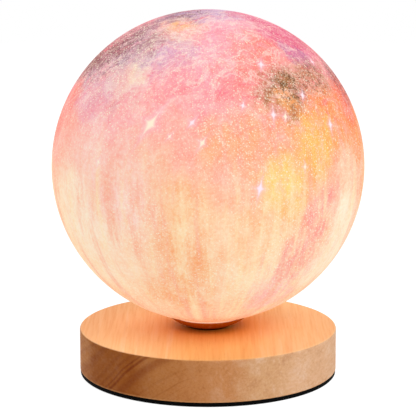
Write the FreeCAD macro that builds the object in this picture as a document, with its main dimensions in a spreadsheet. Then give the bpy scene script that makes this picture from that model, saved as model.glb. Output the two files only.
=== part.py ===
"""Moon lamp: a printed globe that twists onto a bayonet holder above a turned wooden base.

Millimetres. +Z is up, the origin lies on the table under the middle of the foot, and the
front faces -Y. Each piece is drawn about its own seat and put in place by its Placement.
"""
import FreeCAD
import Part
import Sketcher
import math
import os
import re

UP = FreeCAD.Vector(0, 0, 1)
SAME = 0.01  # two sizes nearer than this count as equal

DRIVING_DIMENSIONS = (
    # wooden base and foot
    ("base_radius", 62.5),
    ("base_top", 22.5),
    ("base_round", 1.0),
    ("base_chamfer", 0.3),
    ("foot_thick", 2.0),
    ("foot_radius", 62.3),
    ("foot_chamfer", 0.3),
    ("cavity_radius", 49.0),
    ("cavity_top", 18.0),
    ("rebate_radius", 57.0),
    ("cover_thick", 2.2),
    ("cover_gap", 0.2),
    ("cover_screw_circle", 53.0),
    ("cover_screw_count", 4),
    ("cover_screw_radius", 1.3),
    ("cover_screw_head", 2.7),
    ("cover_screw_length", 11.0),
    # turned dish under the globe
    ("dish_foot_radius", 7.5),
    ("dish_rim_radius", 18.5),
    ("dish_rim_height", 5.0),
    ("dish_flank_radius", 26.0),
    ("dish_floor", 4.4),
    ("dish_floor_radius", 16.6),
    ("globe_seat_gap", 0.75),
    ("washer_thick", 1.0),
    ("seat_ring_inner", 14.2),
    ("seat_ring_outer", 15.3),
    ("seat_ring_thick", 1.0),
    # globe and its collar
    ("globe_radius", 75.0),
    ("globe_wall", 1.5),
    ("globe_centre", 101.5),
    ("mouth_radius", 16.3),
    ("collar_bore", 14.0),
    ("collar_flange", 21.0),
    ("collar_low", 27.6),
    ("collar_lip_thick", 0.6),
    ("collar_lip_drop", 0.65),
    ("collar_high", 33.0),
    ("glue_gap", 0.05),
    ("lug_count", 3),
    ("lug_reach", 1.7),
    ("lug_low", 30.0),
    ("lug_height", 2.4),
    ("lug_angle", 14.0),
    ("lug_home", 90.0),
    ("twist_angle", 30.0),
    # bayonet holder
    ("holder_radius", 13.7),
    ("holder_bore", 9.9),
    ("holder_high", 40.0),
    ("holder_floor", 2.6),
    ("slot_radius", 12.0),
    ("slot_gap", 0.3),
    ("slot_gap_angle", 1.5),
    ("boss_radius", 7.0),
    ("boss_high", 34.0),
    # threaded tube through dish and base
    ("tube_radius", 4.0),
    ("tube_bore", 2.9),
    ("tube_low", 13.2),
    ("tube_gap", 0.15),
    ("nut_flats", 13.0),
    ("nut_thick", 3.5),
    ("nut_washer_radius", 9.0),
    # light engine
    ("sink_radius", 13.5),
    ("sink_plate", 2.0),
    ("sink_height", 7.0),
    ("sink_hub_radius", 4.6),
    ("sink_hub_bore", 3.2),
    ("fin_count", 15),
    ("fin_thick", 1.0),
    ("fin_reach", 11.8),
    ("led_board_thick", 1.0),
    ("led_circle", 5.4),
    ("led_count", 8),
    ("led_long", 3.5),
    ("led_wide", 2.8),
    ("led_high", 0.8),
    ("diffuser_flange", 9.2),
    ("diffuser_radius", 8.8),
    ("diffuser_wall", 0.9),
    ("diffuser_rise", 1.2),
    ("led_screw_circle", 11.4),
    ("led_screw_radius", 0.9),
    ("led_screw_head", 1.7),
    ("led_screw_head_high", 1.2),
    ("led_screw_bite", 4.0),
    # rear port panel, inlet and switch
    ("port_level", 12.0),
    ("panel_half", 18.0),
    ("panel_end_radius", 5.5),
    ("panel_wall", 1.5),
    ("panel_inset", 0.3),
    ("panel_back", 46.0),
    ("panel_front_inside", 57.8),
    ("port_offset", 9.0),
    ("socket_wide", 8.94),
    ("socket_high", 3.16),
    ("socket_deep", 7.35),
    ("socket_mouth", 60.6),
    ("socket_skin", 0.3),
    ("tongue_wide", 6.7),
    ("tongue_thick", 0.7),
    ("tongue_deep", 5.6),
    ("socket_gap", 0.12),
    ("button_radius", 2.6),
    ("button_gap", 0.3),
    ("button_flange", 3.6),
    ("button_flange_thick", 1.2),
    ("button_front", 62.9),
    ("button_travel", 1.2),
    ("button_crown", 0.5),
    ("stem_radius", 1.5),
    ("stem_back", 52.5),
    ("plunger_radius", 1.0),
    ("plunger_gap", 0.35),
    ("plunger_back", 48.5),
    ("switch_front", 50.5),
    ("switch_deep", 5.5),
    ("switch_wide", 6.2),
    ("switch_high", 4.0),
    ("switch_well", 3.7),
    # control board and cell
    ("board_thick", 1.6),
    ("board_half", 18.0),
    ("board_front", 18.0),
    ("board_back", 44.0),
    ("nose_inner", 2.5),
    ("nose_outer", 14.5),
    ("socket_nose", 57.5),
    ("post_radius", 2.6),
    ("post_across", 14.5),
    ("post_front", 21.5),
    ("post_rear", 40.5),
    ("board_screw_radius", 1.0),
    ("board_screw_head", 1.9),
    ("board_screw_head_high", 1.4),
    ("board_screw_bite", 3.6),
    ("cell_long", 48.0),
    ("cell_wide", 32.0),
    ("cell_high", 8.0),
    ("cell_middle", 24.0),
    ("cell_round", 2.5),
    ("tape_thick", 1.0),
    ("tape_margin", 4.0),
    ("fence_gap", 0.3),
    ("fence_thick", 1.0),
    ("fence_high", 2.5),
    # leads
    ("lead_radius", 0.6),
    ("lead_offset", 1.0),
    ("lead_bend", 5.0),
    ("lead_end", 22.0),
    ("cell_lead_first", 5.75),
    ("cell_lead_pitch", 2.5),
    ("cell_lead_exit", 9.0),
    ("cell_lead_start", 4.0),
    ("cell_lead_climb", 10.0),
    ("plug_wide", 6.0),
    ("plug_deep", 5.0),
    ("plug_high", 4.0),
    # components on the board
    ("charger_side", 4.0),
    ("charger_high", 0.9),
    ("charger_depth", 48.5),
    ("driver_wide", 5.0),
    ("driver_deep", 4.0),
    ("driver_high", 1.5),
    ("driver_across", 3.5),
    ("choke_side", 6.0),
    ("choke_high", 2.8),
    ("parts_row", 36.0),
    ("capacitor_wide", 2.0),
    ("capacitor_deep", 3.2),
    ("capacitor_high", 1.6),
    ("capacitor_row", 29.5),
    ("capacitor_first", 7.5),
    ("capacitor_pitch", 3.5),
    ("capacitor_count", 3),
)

# heights and other sizes that follow from the driving dimensions
DERIVED_DIMENSIONS = (
    ("cover_top", "foot_thick + cover_thick"),
    ("holder_low", "base_top + dish_floor"),
    ("led_board_low", "holder_high + sink_height"),
    ("led_board_high", "led_board_low + led_board_thick"),
    ("slot_low", "lug_low - slot_gap"),
    ("slot_high", "lug_low + lug_height + slot_gap"),
    ("lug_radius", "collar_bore - lug_reach"),
    ("inner_radius", "globe_radius - globe_wall"),
    ("seat_radius", "globe_radius + globe_seat_gap"),
    ("board_top", "port_level - socket_high / 2"),
    ("board_low", "board_top - board_thick"),
    ("entry_angle", "lug_home + twist_angle"),
)

doc = FreeCAD.newDocument("MoonLamp")
sheet = doc.addObject("Spreadsheet::Sheet", "Dim")


def bind(text):
    """Turn the aliases in a formula into references to the sheet."""
    return re.sub(r"[a-z]+(_[a-z]+)+", r"Dim.\g<0>", text)


def size(text):
    """Work out a formula of aliases as a plain number."""
    return float(sheet.evalExpression(bind(text)))


def fill_sheet():
    """Write the driving dimensions, then the derived ones, as aliased cells."""
    row = 1
    for alias, number in DRIVING_DIMENSIONS:
        sheet.set("A%d" % row, alias)
        sheet.set("B%d" % row, str(number))
        sheet.setAlias("B%d" % row, alias)
        row += 1
    for alias, formula in DERIVED_DIMENSIONS:
        sheet.set("A%d" % row, alias)
        sheet.set("B%d" % row, "=" + formula)
        sheet.setAlias("B%d" % row, alias)
        row += 1
    doc.recompute()


def new_body(name):
    """Start a body whose label names its file."""
    body = doc.addObject("PartDesign::Body", name)
    body.Label = name
    return body


def place(piece, across="0", along="0", level="0"):
    """Put a piece on its seat, with each coordinate bound to the sheet."""
    piece.setExpression("Placement.Base.x", bind(across))
    piece.setExpression("Placement.Base.y", bind(along))
    piece.setExpression("Placement.Base.z", bind(level))
    return piece


def new_sketch(body, name, plane="XY_Plane", level="0"):
    """Attach a sketch to one of the body's own origin planes, moved along its normal."""
    sketch = body.newObject("Sketcher::SketchObject", name)
    support = [item for item in body.Origin.OriginFeatures if item.Role == plane][0]
    sketch.AttachmentSupport = [(support, "")]
    sketch.MapMode = "FlatFace"
    sketch.setExpression("AttachmentOffset.Base.z", bind(level))
    doc.recompute()
    return sketch


def constrain(sketch, constraint, text):
    """Add a dimension to a sketch and bind it to the sheet."""
    index = sketch.addConstraint(constraint)
    sketch.setExpression("Constraints[%d]" % index, bind(text))


def pin_point(sketch, edge, end, across, along):
    """Dimension one point of a sketch edge from the sketch's origin."""
    distance_x = Sketcher.Constraint("DistanceX", -1, 1, edge, end, size(across))
    distance_y = Sketcher.Constraint("DistanceY", -1, 1, edge, end, size(along))
    constrain(sketch, distance_x, across)
    constrain(sketch, distance_y, along)


def arc_between(start, end, radius, turn):
    """Draw the shorter arc from start to end; turn is 1 anticlockwise and -1 clockwise."""
    chord = end - start
    rise = math.sqrt(max(radius**2 - (chord.Length / 2) ** 2, 0.0))
    left = FreeCAD.Vector(-chord.y, chord.x, 0) / chord.Length
    centre = (start + end) / 2 + left * rise * turn
    circle = Part.Circle(centre, UP, radius)
    first = math.atan2(start.y - centre.y, start.x - centre.x)
    last = math.atan2(end.y - centre.y, end.x - centre.x)
    if turn < 0:
        first, last = last, first
    if last < first:
        last += 2 * math.pi
    return Part.ArcOfCircle(circle, first, last)


def outline(sketch, corners, closed=True):
    """Join corners by lines and arcs, each corner dimensioned from the origin.

    A corner is (x, y), or (x, y, radius, turn) where an arc leads on to the next corner.
    A radius of None makes a half circle on an upright chord.
    """
    links = len(corners) if closed else len(corners) - 1
    drawn = []
    for index in range(links):
        here = corners[index]
        there = corners[(index + 1) % len(corners)]
        start = FreeCAD.Vector(size(here[0]), size(here[1]), 0)
        end = FreeCAD.Vector(size(there[0]), size(there[1]), 0)
        if len(here) == 2:
            edge = sketch.addGeometry(Part.LineSegment(start, end))
            ends = (1, 2)
        else:
            radius = (end - start).Length / 2 if here[2] is None else size(here[2])
            edge = sketch.addGeometry(arc_between(start, end, radius, here[3]))
            ends = (1, 2) if here[3] > 0 else (2, 1)
        pin_point(sketch, edge, ends[0], here[0], here[1])
        if drawn:
            sketch.addConstraint(Sketcher.Constraint("Coincident", *drawn[-1][2:], edge, ends[0]))
        drawn.append((edge, ends[0], edge, ends[1]))
        if len(here) > 2 and here[2] is None:
            middle = Sketcher.Constraint("DistanceX", -1, 1, edge, 3, size(here[0]))
            constrain(sketch, middle, here[0])
        elif len(here) > 2:
            constrain(sketch, Sketcher.Constraint("Radius", edge, size(here[2])), here[2])
    if closed:
        loop = Sketcher.Constraint("Coincident", *drawn[-1][2:], *drawn[0][:2])
        sketch.addConstraint(loop)
    else:
        pin_point(sketch, drawn[-1][2], drawn[-1][3], corners[-1][0], corners[-1][1])
    doc.recompute()
    return sketch


def rings(sketch, radii, centres=(("0", "0"),)):
    """Add dimensioned circles of the given radii about each centre."""
    for across, along in centres:
        for radius in radii:
            middle = FreeCAD.Vector(size(across), size(along), 0)
            edge = sketch.addGeometry(Part.Circle(middle, UP, size(radius)))
            pin_point(sketch, edge, 3, across, along)
            constrain(sketch, Sketcher.Constraint("Radius", edge, size(radius)), radius)
    doc.recompute()
    return sketch


def rectangle(low_x, low_y, high_x, high_y):
    """List the corners of a rectangle."""
    return [(low_x, low_y), (high_x, low_y), (high_x, high_y), (low_x, high_y)]


def stadium(middle_x, middle_y, half_straight, end_radius):
    """List the corners of a slot with round ends."""
    left = "%s - (%s)" % (middle_x, half_straight)
    right = "%s + %s" % (middle_x, half_straight)
    low = "%s - (%s)" % (middle_y, end_radius)
    high = "%s + %s" % (middle_y, end_radius)
    return [(left, low), (right, low, None, 1), (right, high), (left, high, None, 1)]


def sector(inner, outer, first, last):
    """List the corners of a slice of a ring between two angles."""
    spots = []
    for radius, angle in ((inner, first), (outer, first), (outer, last), (inner, last)):
        spots.append(("(%s) * cos(%s)" % (radius, angle), "(%s) * sin(%s)" % (radius, angle)))
    return [spots[0], spots[1] + (outer, 1), spots[2], spots[3] + (inner, -1)]


def pad(body, sketch, length, name="Pad", reverse=False):
    """Raise a sketch into material."""
    feature = body.newObject("PartDesign::Pad", name)
    feature.Profile = sketch
    feature.setExpression("Length", bind(length))
    feature.Reversed = reverse
    doc.recompute()
    return feature


def pocket(body, sketch, length, name="Pocket", reverse=False):
    """Cut a sketch out of the body, and make sure that the cut removed material."""
    before = body.Shape.Volume
    feature = body.newObject("PartDesign::Pocket", name)
    feature.Profile = sketch
    feature.setExpression("Length", bind(length))
    feature.Reversed = reverse
    doc.recompute()
    if body.Shape.Volume >= before:
        raise ValueError("%s of %s cuts nothing" % (name, body.Label))
    return feature


def repeat_around(body, features, count, name="Pattern"):
    """Repeat features at even steps around the body's Z axis."""
    pattern = body.newObject("PartDesign::PolarPattern", name)
    pattern.Originals = features
    axis = [item for item in body.Origin.OriginFeatures if item.Role == "Z_Axis"][0]
    pattern.Axis = (axis, [""])
    pattern.Angle = 360
    pattern.setExpression("Occurrences", bind(count))
    body.Tip = pattern
    doc.recompute()
    return pattern


def dress_edges(body, kind, radius, wanted, name="Edges"):
    """Round or chamfer the edges of the body's present shape that the test picks."""
    base = body.Tip
    edges = ["Edge%d" % (n + 1) for n, edge in enumerate(base.Shape.Edges) if wanted(edge)]
    feature = body.newObject("PartDesign::" + kind, name)
    feature.Base = (base, edges)
    feature.setExpression("Radius" if kind == "Fillet" else "Size", bind(radius))
    doc.recompute()
    return feature


def rim_at(radius, level):
    """Pick round edges of one radius at one height above the piece's seat."""
    def wanted(edge):
        if not isinstance(edge.Curve, Part.Circle):
            return False
        same_radius = abs(edge.Curve.Radius - size(radius)) < SAME
        return same_radius and abs(edge.Curve.Center.z - size(level)) < SAME
    return wanted


def turned(name, corners, level="0"):
    """Turn a half section about Z; its corners are (radius, height)."""
    body = new_body(name)
    section = outline(new_sketch(body, "Section", "XZ_Plane"), corners)
    feature = body.newObject("PartDesign::Revolution", "Turning")
    feature.Profile = section
    feature.ReferenceAxis = (section, ["V_Axis"])
    feature.Angle = 360
    doc.recompute()
    return place(body, level=level)


def piped(name, plane, level, route, start, start_level):
    """Sweep a round lead along a flat route, from a circle at its start."""
    body = new_body(name)
    path = outline(new_sketch(body, "Route", plane, level), route, closed=False)
    circle = new_sketch(body, "Round", start[0], start_level)
    rings(circle, ["lead_radius"], [start[1:]])
    pipe = body.newObject("PartDesign::AdditivePipe", "Lead")
    pipe.Profile = circle
    pipe.Spine = (path, [])
    doc.recompute()
    return body


def group(name, members):
    """Gather separate solids of one kind in one node."""
    compound = doc.addObject("Part::Compound", name)
    compound.Label = name
    compound.Links = members
    doc.recompute()
    return compound


def box_piece(name, spans):
    """Make a box from the low and high formula of each of its three spans."""
    box = doc.addObject("Part::Box", name)
    box.Label = name
    for side, (low, high) in zip(("Length", "Width", "Height"), spans):
        box.setExpression(side, bind("(%s) - (%s)" % (high, low)))
    doc.recompute()
    return place(box, spans[0][0], spans[1][0], spans[2][0])


def screw(name, shank, length, head, head_high, spot, level, sunk=False):
    """Make one screw pointing down from its head's seat; a sunk one points up."""
    stem = doc.addObject("Part::Cylinder", name + "Shank")
    stem.setExpression("Radius", bind(shank))
    stem.setExpression("Height", bind(length))
    if sunk:
        top = doc.addObject("Part::Cone", name + "Head")
        top.setExpression("Radius1", bind(head))
        top.setExpression("Radius2", bind(shank))
        top.setExpression("Height", bind(head_high))
    else:
        top = doc.addObject("Part::Cylinder", name + "Head")
        top.setExpression("Radius", bind(head))
        top.setExpression("Height", bind(head_high))
        stem.setExpression("Placement.Base.z", bind("-(%s)" % length))
    whole = doc.addObject("Part::Fuse", name)
    whole.Base = stem
    whole.Tool = top
    whole.Refine = True
    doc.recompute()
    return place(whole, spot[0], spot[1], level)


def on_circle(radius, angle):
    """Give the two coordinates of a point on a circle about Z."""
    return "%s * cos(%s)" % (radius, angle), "%s * sin(%s)" % (radius, angle)


# ---- base ------------------------------------------------------------------------------


def make_foot_pad():
    """Soft disc glued under the base, a little smaller than the wood."""
    body = new_body("foot_pad")
    pad(body, rings(new_sketch(body, "Disc"), ["foot_radius"]), "foot_thick")
    dress_edges(body, "Chamfer", "foot_chamfer", rim_at("foot_radius", "0"))
    return body


def make_bottom_cover():
    """Moulded cover let into the wood, with board posts and a fence round the cell."""
    body = new_body("bottom_cover")
    disc = new_sketch(body, "Disc")
    pad(body, rings(disc, ["rebate_radius - cover_gap"]), "cover_thick", "Plate")
    posts = new_sketch(body, "PostRounds", level="cover_thick")
    rings(posts, ["post_radius"], board_posts())
    pad(body, posts, "board_low - cover_top", "Posts")
    fence = new_sketch(body, "FenceLines", level="cover_thick")
    side = "cell_long / 2 + fence_gap"
    near = "cell_wide / 2 + fence_gap"
    for grow in ("0", "fence_thick"):
        low_x = "-(%s) - %s" % (side, grow)
        high_x = "%s + %s" % (side, grow)
        low_y = "-cell_middle - (%s) - %s" % (near, grow)
        high_y = "-cell_middle + %s + %s" % (near, grow)
        outline(fence, rectangle(low_x, low_y, high_x, high_y))
    pad(body, fence, "fence_high", "Fence")
    pilots = new_sketch(body, "PilotRounds", level="board_low - foot_thick")
    rings(pilots, ["board_screw_radius"], board_posts())
    pocket(body, pilots, "board_screw_bite", "Pilots")
    spot = new_sketch(body, "ScrewSpot")
    rings(spot, ["cover_screw_radius"], [("cover_screw_circle * cos(45)", "cover_screw_circle * sin(45)")])
    hole = body.newObject("PartDesign::Hole", "ScrewHole")
    hole.Profile = spot
    hole.DepthType = "ThroughAll"
    hole.Reversed = True
    hole.HoleCutType = "Countersink"
    hole.setExpression("Diameter", bind("2 * cover_screw_radius + 2 * glue_gap"))
    hole.setExpression("HoleCutDiameter", bind("2 * cover_screw_head + 2 * glue_gap"))
    hole.HoleCutCountersinkAngle = 90
    doc.recompute()
    repeat_around(body, [hole], "cover_screw_count", "ScrewHoles")
    return place(body, level="foot_thick")


def board_posts():
    """Centres of the four posts that carry the control board."""
    sides = ("-post_across", "post_across")
    return [(side, depth) for side in sides for depth in ("post_front", "post_rear")]


def make_cover_screws():
    """Four countersunk screws up through the cover into the wood."""
    screws = []
    for number in range(int(size("cover_screw_count"))):
        angle = "45 + %d * 360 / cover_screw_count" % number
        spot = on_circle("cover_screw_circle", angle)
        head_high = "cover_screw_head - cover_screw_radius"
        name = "CoverScrew%d" % number
        screws.append(screw(name, "cover_screw_radius", "cover_screw_length",
                            "cover_screw_head", head_high, spot, "foot_thick", sunk=True))
    return group("cover_screws", screws)


def make_wood_base():
    """Turned wooden disc, hollow below, with a stem bore and a slot milled at the back."""
    body = new_body("wood_base")
    blank = rings(new_sketch(body, "Blank"), ["base_radius"])
    pad(body, blank, "base_top - foot_thick", "Disc")
    dress_edges(body, "Fillet", "base_round", rim_at("base_radius", "base_top - foot_thick"))
    dress_edges(body, "Chamfer", "base_chamfer", rim_at("base_radius", "0"), "FootEdge")
    rebate = rings(new_sketch(body, "RebateRound"), ["rebate_radius"])
    pocket(body, rebate, "cover_thick", "Rebate", reverse=True)
    hollow = rings(new_sketch(body, "HollowRound"), ["cavity_radius"])
    pocket(body, hollow, "cavity_top - foot_thick", "Hollow", reverse=True)
    bore = rings(new_sketch(body, "BoreRound"), ["tube_radius + tube_gap"])
    pocket(body, bore, "base_top - foot_thick", "StemBore", reverse=True)
    slot = new_sketch(body, "PanelSlot", "XZ_Plane")
    straight = "(panel_half - panel_end_radius)"
    outline(slot, stadium("0", "port_level - foot_thick", straight, "panel_end_radius"))
    pocket(body, slot, "base_radius + base_round", "RearSlot")
    spot = new_sketch(body, "PilotSpot", level="cover_thick")
    rings(spot, ["cover_screw_radius"], [("cover_screw_circle * cos(45)", "cover_screw_circle * sin(45)")])
    pilot = pocket(body, spot, "cover_screw_length - cover_thick + glue_gap", "Pilot", reverse=True)
    repeat_around(body, [pilot], "cover_screw_count", "Pilots")
    return place(body, level="foot_thick")


# ---- neck ------------------------------------------------------------------------------


def make_neck_dish():
    """Turned dish that carries the globe: a curved flank, a low rim and a flat floor."""
    seat_drop = "globe_centre - base_top"
    rim_top = "%s - sqrt(seat_radius ^ 2 - dish_rim_radius ^ 2)" % seat_drop
    lip_top = "%s - sqrt(seat_radius ^ 2 - dish_floor_radius ^ 2)" % seat_drop
    corners = [
        ("tube_radius + tube_gap", "0"),
        ("dish_foot_radius", "0", "dish_flank_radius", 1),
        ("dish_rim_radius", "dish_rim_height"),
        ("dish_rim_radius", rim_top, "seat_radius", -1),
        ("dish_floor_radius", lip_top),
        ("dish_floor_radius", "dish_floor"),
        ("tube_radius + tube_gap", "dish_floor"),
    ]
    return turned("neck_dish", corners, "base_top")


def make_seat_ring():
    """Soft ring on the dish's floor, just under the collar."""
    body = new_body("seat_ring")
    sketch = rings(new_sketch(body, "Ring"), ["seat_ring_inner", "seat_ring_outer"])
    pad(body, sketch, "seat_ring_thick")
    return place(body, level="holder_low")


def make_stem_tube():
    """Threaded tube that clamps holder, dish and wood together and carries the leads."""
    body = new_body("stem_tube")
    pad(body, rings(new_sketch(body, "Ring"), ["tube_bore", "tube_radius"]), "boss_high - tube_low")
    return place(body, level="tube_low")


def make_stem_washer():
    """Flat washer against the underside of the wood."""
    body = new_body("stem_washer")
    sketch = rings(new_sketch(body, "Ring"), ["tube_radius + tube_gap", "nut_washer_radius"])
    pad(body, sketch, "washer_thick")
    return place(body, level="cavity_top - washer_thick")


def make_stem_nut():
    """Thin hexagon nut with turned corners."""
    body = new_body("stem_nut")
    hexagon = new_sketch(body, "Hexagon")
    corner = "nut_flats / sqrt(3)"
    spots = [("%s * cos(%d)" % (corner, angle), "%s * sin(%d)" % (corner, angle))
             for angle in range(0, 360, 60)]
    outline(hexagon, spots)
    pad(body, hexagon, "nut_thick", "Prism")
    bore = rings(new_sketch(body, "BoreRound"), ["tube_radius"])
    pocket(body, bore, "nut_thick", "Thread", reverse=True)
    return place(body, level="cavity_top - washer_thick - nut_thick")


# ---- bayonet ---------------------------------------------------------------------------


def make_lamp_holder():
    """Cup on the dish with three L-shaped slots, which the collar's lugs enter and turn in."""
    base = "holder_low"
    corners = [
        ("tube_radius", "0"),
        ("holder_radius", "0"),
        ("holder_radius", "holder_high - " + base),
        ("holder_bore", "holder_high - " + base),
        ("holder_bore", "holder_floor"),
        ("boss_radius", "holder_floor"),
        ("boss_radius", "boss_high - " + base),
        ("tube_radius", "boss_high - " + base),
    ]
    body = turned("lamp_holder", corners, base)
    half = "(lug_angle / 2 + slot_gap_angle)"
    outside = "holder_radius + slot_gap"
    entry = new_sketch(body, "EntryLines", level="holder_high - " + base)
    outline(entry, sector("slot_radius", outside, "entry_angle - " + half, "entry_angle + " + half))
    down = pocket(body, entry, "holder_high - slot_low", "Entry")
    run = new_sketch(body, "RunLines", level="slot_high - " + base)
    outline(run, sector("slot_radius", outside, "lug_home - " + half, "entry_angle + " + half))
    across = pocket(body, run, "slot_high - slot_low", "LockingRun")
    spot = new_sketch(body, "PilotSpot", level="holder_high - " + base)
    rings(spot, ["led_screw_radius"], [on_circle("led_screw_circle", "entry_angle + 60")])
    pilot = pocket(body, spot, "led_screw_bite + glue_gap", "Pilot")
    repeat_around(body, [down, across, pilot], "lug_count", "ThreeSlots")
    return body


def make_globe_collar():
    """Ring glued in the globe's mouth: a lip below, a flange inside the wall, three inward lugs."""
    skirt = "mouth_radius - glue_gap"
    lip = skirt + " - collar_lip_thick"
    inside = "globe_centre - collar_low - sqrt(inner_radius ^ 2 - (%s) ^ 2)"
    corners = [
        ("collar_bore", "collar_lip_drop"),
        (lip, "collar_lip_drop"),
        (lip, "0"),
        (skirt, "0"),
        (skirt, inside % skirt, "inner_radius", 1),
        ("collar_flange", inside % "collar_flange"),
        ("collar_flange", "collar_high - collar_low"),
        ("collar_bore", "collar_high - collar_low"),
    ]
    body = turned("globe_collar", corners, "collar_low")
    lug = new_sketch(body, "LugLines", level="lug_low - collar_low")
    outer = "collar_bore + globe_wall / 2"
    half = "lug_angle / 2"
    outline(lug, sector("lug_radius", outer, "lug_home - " + half, "lug_home + " + half))
    feature = pad(body, lug, "lug_height", "Lug")
    repeat_around(body, [feature], "lug_count", "ThreeLugs")
    return body


def make_globe_shell():
    """Thin round globe, drawn about its centre, open at the mouth below."""
    corners = [
        ("mouth_radius", "-sqrt(globe_radius ^ 2 - mouth_radius ^ 2)", "globe_radius", 1),
        ("0", "globe_radius"),
        ("0", "inner_radius", "inner_radius", -1),
        ("mouth_radius", "-sqrt(inner_radius ^ 2 - mouth_radius ^ 2)"),
    ]
    return turned("globe_shell", corners, "globe_centre")


# ---- light engine ----------------------------------------------------------------------


def notch_for_lugs(body, thick, name):
    """Notch a round plate where the lugs pass it when the globe is lifted off."""
    half = "(lug_angle / 2 + slot_gap_angle)"
    notch = new_sketch(body, name + "Lines")
    outer = "sink_radius + slot_gap"
    outline(notch, sector("slot_radius", outer, "entry_angle - " + half, "entry_angle + " + half))
    return pocket(body, notch, thick, name, reverse=True)


def screw_clearance(body, thick):
    """Drill a plate for one of the screws that hold the light engine."""
    spot = new_sketch(body, "ScrewSpot")
    rings(spot, ["led_screw_radius + glue_gap"], [on_circle("led_screw_circle", "entry_angle + 60")])
    return pocket(body, spot, thick, "ScrewHole", reverse=True)


def make_heat_sink():
    """Aluminium plate on radial fins, standing on the holder's rim."""
    body = new_body("heat_sink")
    hub = rings(new_sketch(body, "HubRings"), ["sink_hub_bore", "sink_hub_radius"])
    pad(body, hub, "sink_height", "Hub")
    plate = rings(new_sketch(body, "PlateRings", level="sink_height - sink_plate"),
                  ["sink_hub_bore", "sink_radius"])
    pad(body, plate, "sink_plate", "Plate")
    blade = new_sketch(body, "FinLines")
    half = "fin_thick / 2"
    outline(blade, rectangle("sink_hub_radius - fin_thick / 2", "-" + half, "fin_reach", half))
    fin = pad(body, blade, "sink_height - sink_plate", "Fin")
    repeat_around(body, [fin], "fin_count", "Fins")
    notch = notch_for_lugs(body, "sink_height", "Notch")
    hole = screw_clearance(body, "sink_height")
    repeat_around(body, [notch, hole], "lug_count", "NotchesAndHoles")
    return place(body, level="holder_high")


def make_led_board():
    """Round metal-core board with notches for the lugs."""
    body = new_body("led_board")
    pad(body, rings(new_sketch(body, "Disc"), ["sink_radius"]), "led_board_thick", "Board")
    notch = notch_for_lugs(body, "led_board_thick", "Notch")
    hole = screw_clearance(body, "led_board_thick")
    repeat_around(body, [notch, hole], "lug_count", "NotchesAndHoles")
    return place(body, level="led_board_low")


def make_led_chips():
    """Ring of small light emitters on the board."""
    chips = []
    for number in range(int(size("led_count"))):
        angle = 360.0 * number / size("led_count")
        chip = doc.addObject("Part::Box", "LedChip%d" % number)
        chip.setExpression("Length", bind("led_long"))
        chip.setExpression("Width", bind("led_wide"))
        chip.setExpression("Height", bind("led_high"))
        chip.Placement.Rotation = FreeCAD.Rotation(UP, angle)
        near = "(led_circle - led_long / 2)"
        across = "%s * cos(%g) + led_wide / 2 * sin(%g)" % (near, angle, angle)
        along = "%s * sin(%g) - led_wide / 2 * cos(%g)" % (near, angle, angle)
        chips.append(place(chip, across, along, "led_board_high"))
    return group("led_chips", chips)


def make_led_diffuser():
    """Frosted dome over the emitters."""
    inner = "(diffuser_radius - diffuser_wall)"
    corners = [
        (inner, "0"),
        ("diffuser_flange", "0"),
        ("diffuser_flange", "diffuser_rise"),
        ("diffuser_radius", "diffuser_rise", "diffuser_radius", 1),
        ("0", "diffuser_rise + diffuser_radius"),
        ("0", "diffuser_rise + " + inner, inner, -1),
        (inner, "diffuser_rise"),
    ]
    return turned("led_diffuser", corners, "led_board_high")


def make_led_screws():
    """Three long screws through board and heat sink into the holder's rim."""
    screws = []
    for number in range(int(size("lug_count"))):
        angle = "entry_angle + 60 + %d * 360 / lug_count" % number
        length = "led_board_high - holder_high + led_screw_bite"
        screws.append(screw("LedScrew%d" % number, "led_screw_radius", length, "led_screw_head",
                            "led_screw_head_high", on_circle("led_screw_circle", angle),
                            "led_board_high"))
    return group("led_screws", screws)


# ---- rear panel, inlet and switch --------------------------------------------------------


def make_port_panel():
    """Hollow insert in the rear slot, its face following the round of the base."""
    body = new_body("port_panel")
    straight = "(panel_half - panel_end_radius)"
    outside = new_sketch(body, "OutsideLines", "XZ_Plane", "-panel_back")
    outline(outside, stadium("0", "0", straight, "(panel_end_radius - glue_gap)"))
    pad(body, outside, "base_radius - panel_back", "Block", reverse=True)
    inside = new_sketch(body, "InsideLines", "XZ_Plane", "-panel_back")
    outline(inside, stadium("0", "0", straight, "(panel_end_radius - panel_wall)"))
    pocket(body, inside, "panel_front_inside - panel_back", "Hollow")
    face = new_sketch(body, "FaceLines", level="-panel_half")
    edge = "(base_radius - panel_inset)"
    far = "(base_radius + panel_half)"
    limit = "sqrt(%s ^ 2 - panel_back ^ 2)" % edge
    outline(face, [(limit, "panel_back", edge, 1), ("-" + limit, "panel_back"), ("-" + far, far), (far, far)])
    pocket(body, face, "2 * panel_half", "RoundFace", reverse=True)
    inlet = new_sketch(body, "InletLines", "XZ_Plane", "-panel_back")
    half = "(socket_wide - socket_high) / 2"
    outline(inlet, stadium("-port_offset", "0", half, "(socket_high / 2 + socket_gap)"))
    pocket(body, inlet, "base_radius - panel_back", "InletHole")
    button = new_sketch(body, "ButtonRound", "XZ_Plane", "-panel_back")
    rings(button, ["button_radius + button_gap"], [("port_offset", "0")])
    pocket(body, button, "base_radius - panel_back", "ButtonHole")
    return place(body, level="port_level")


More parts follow.
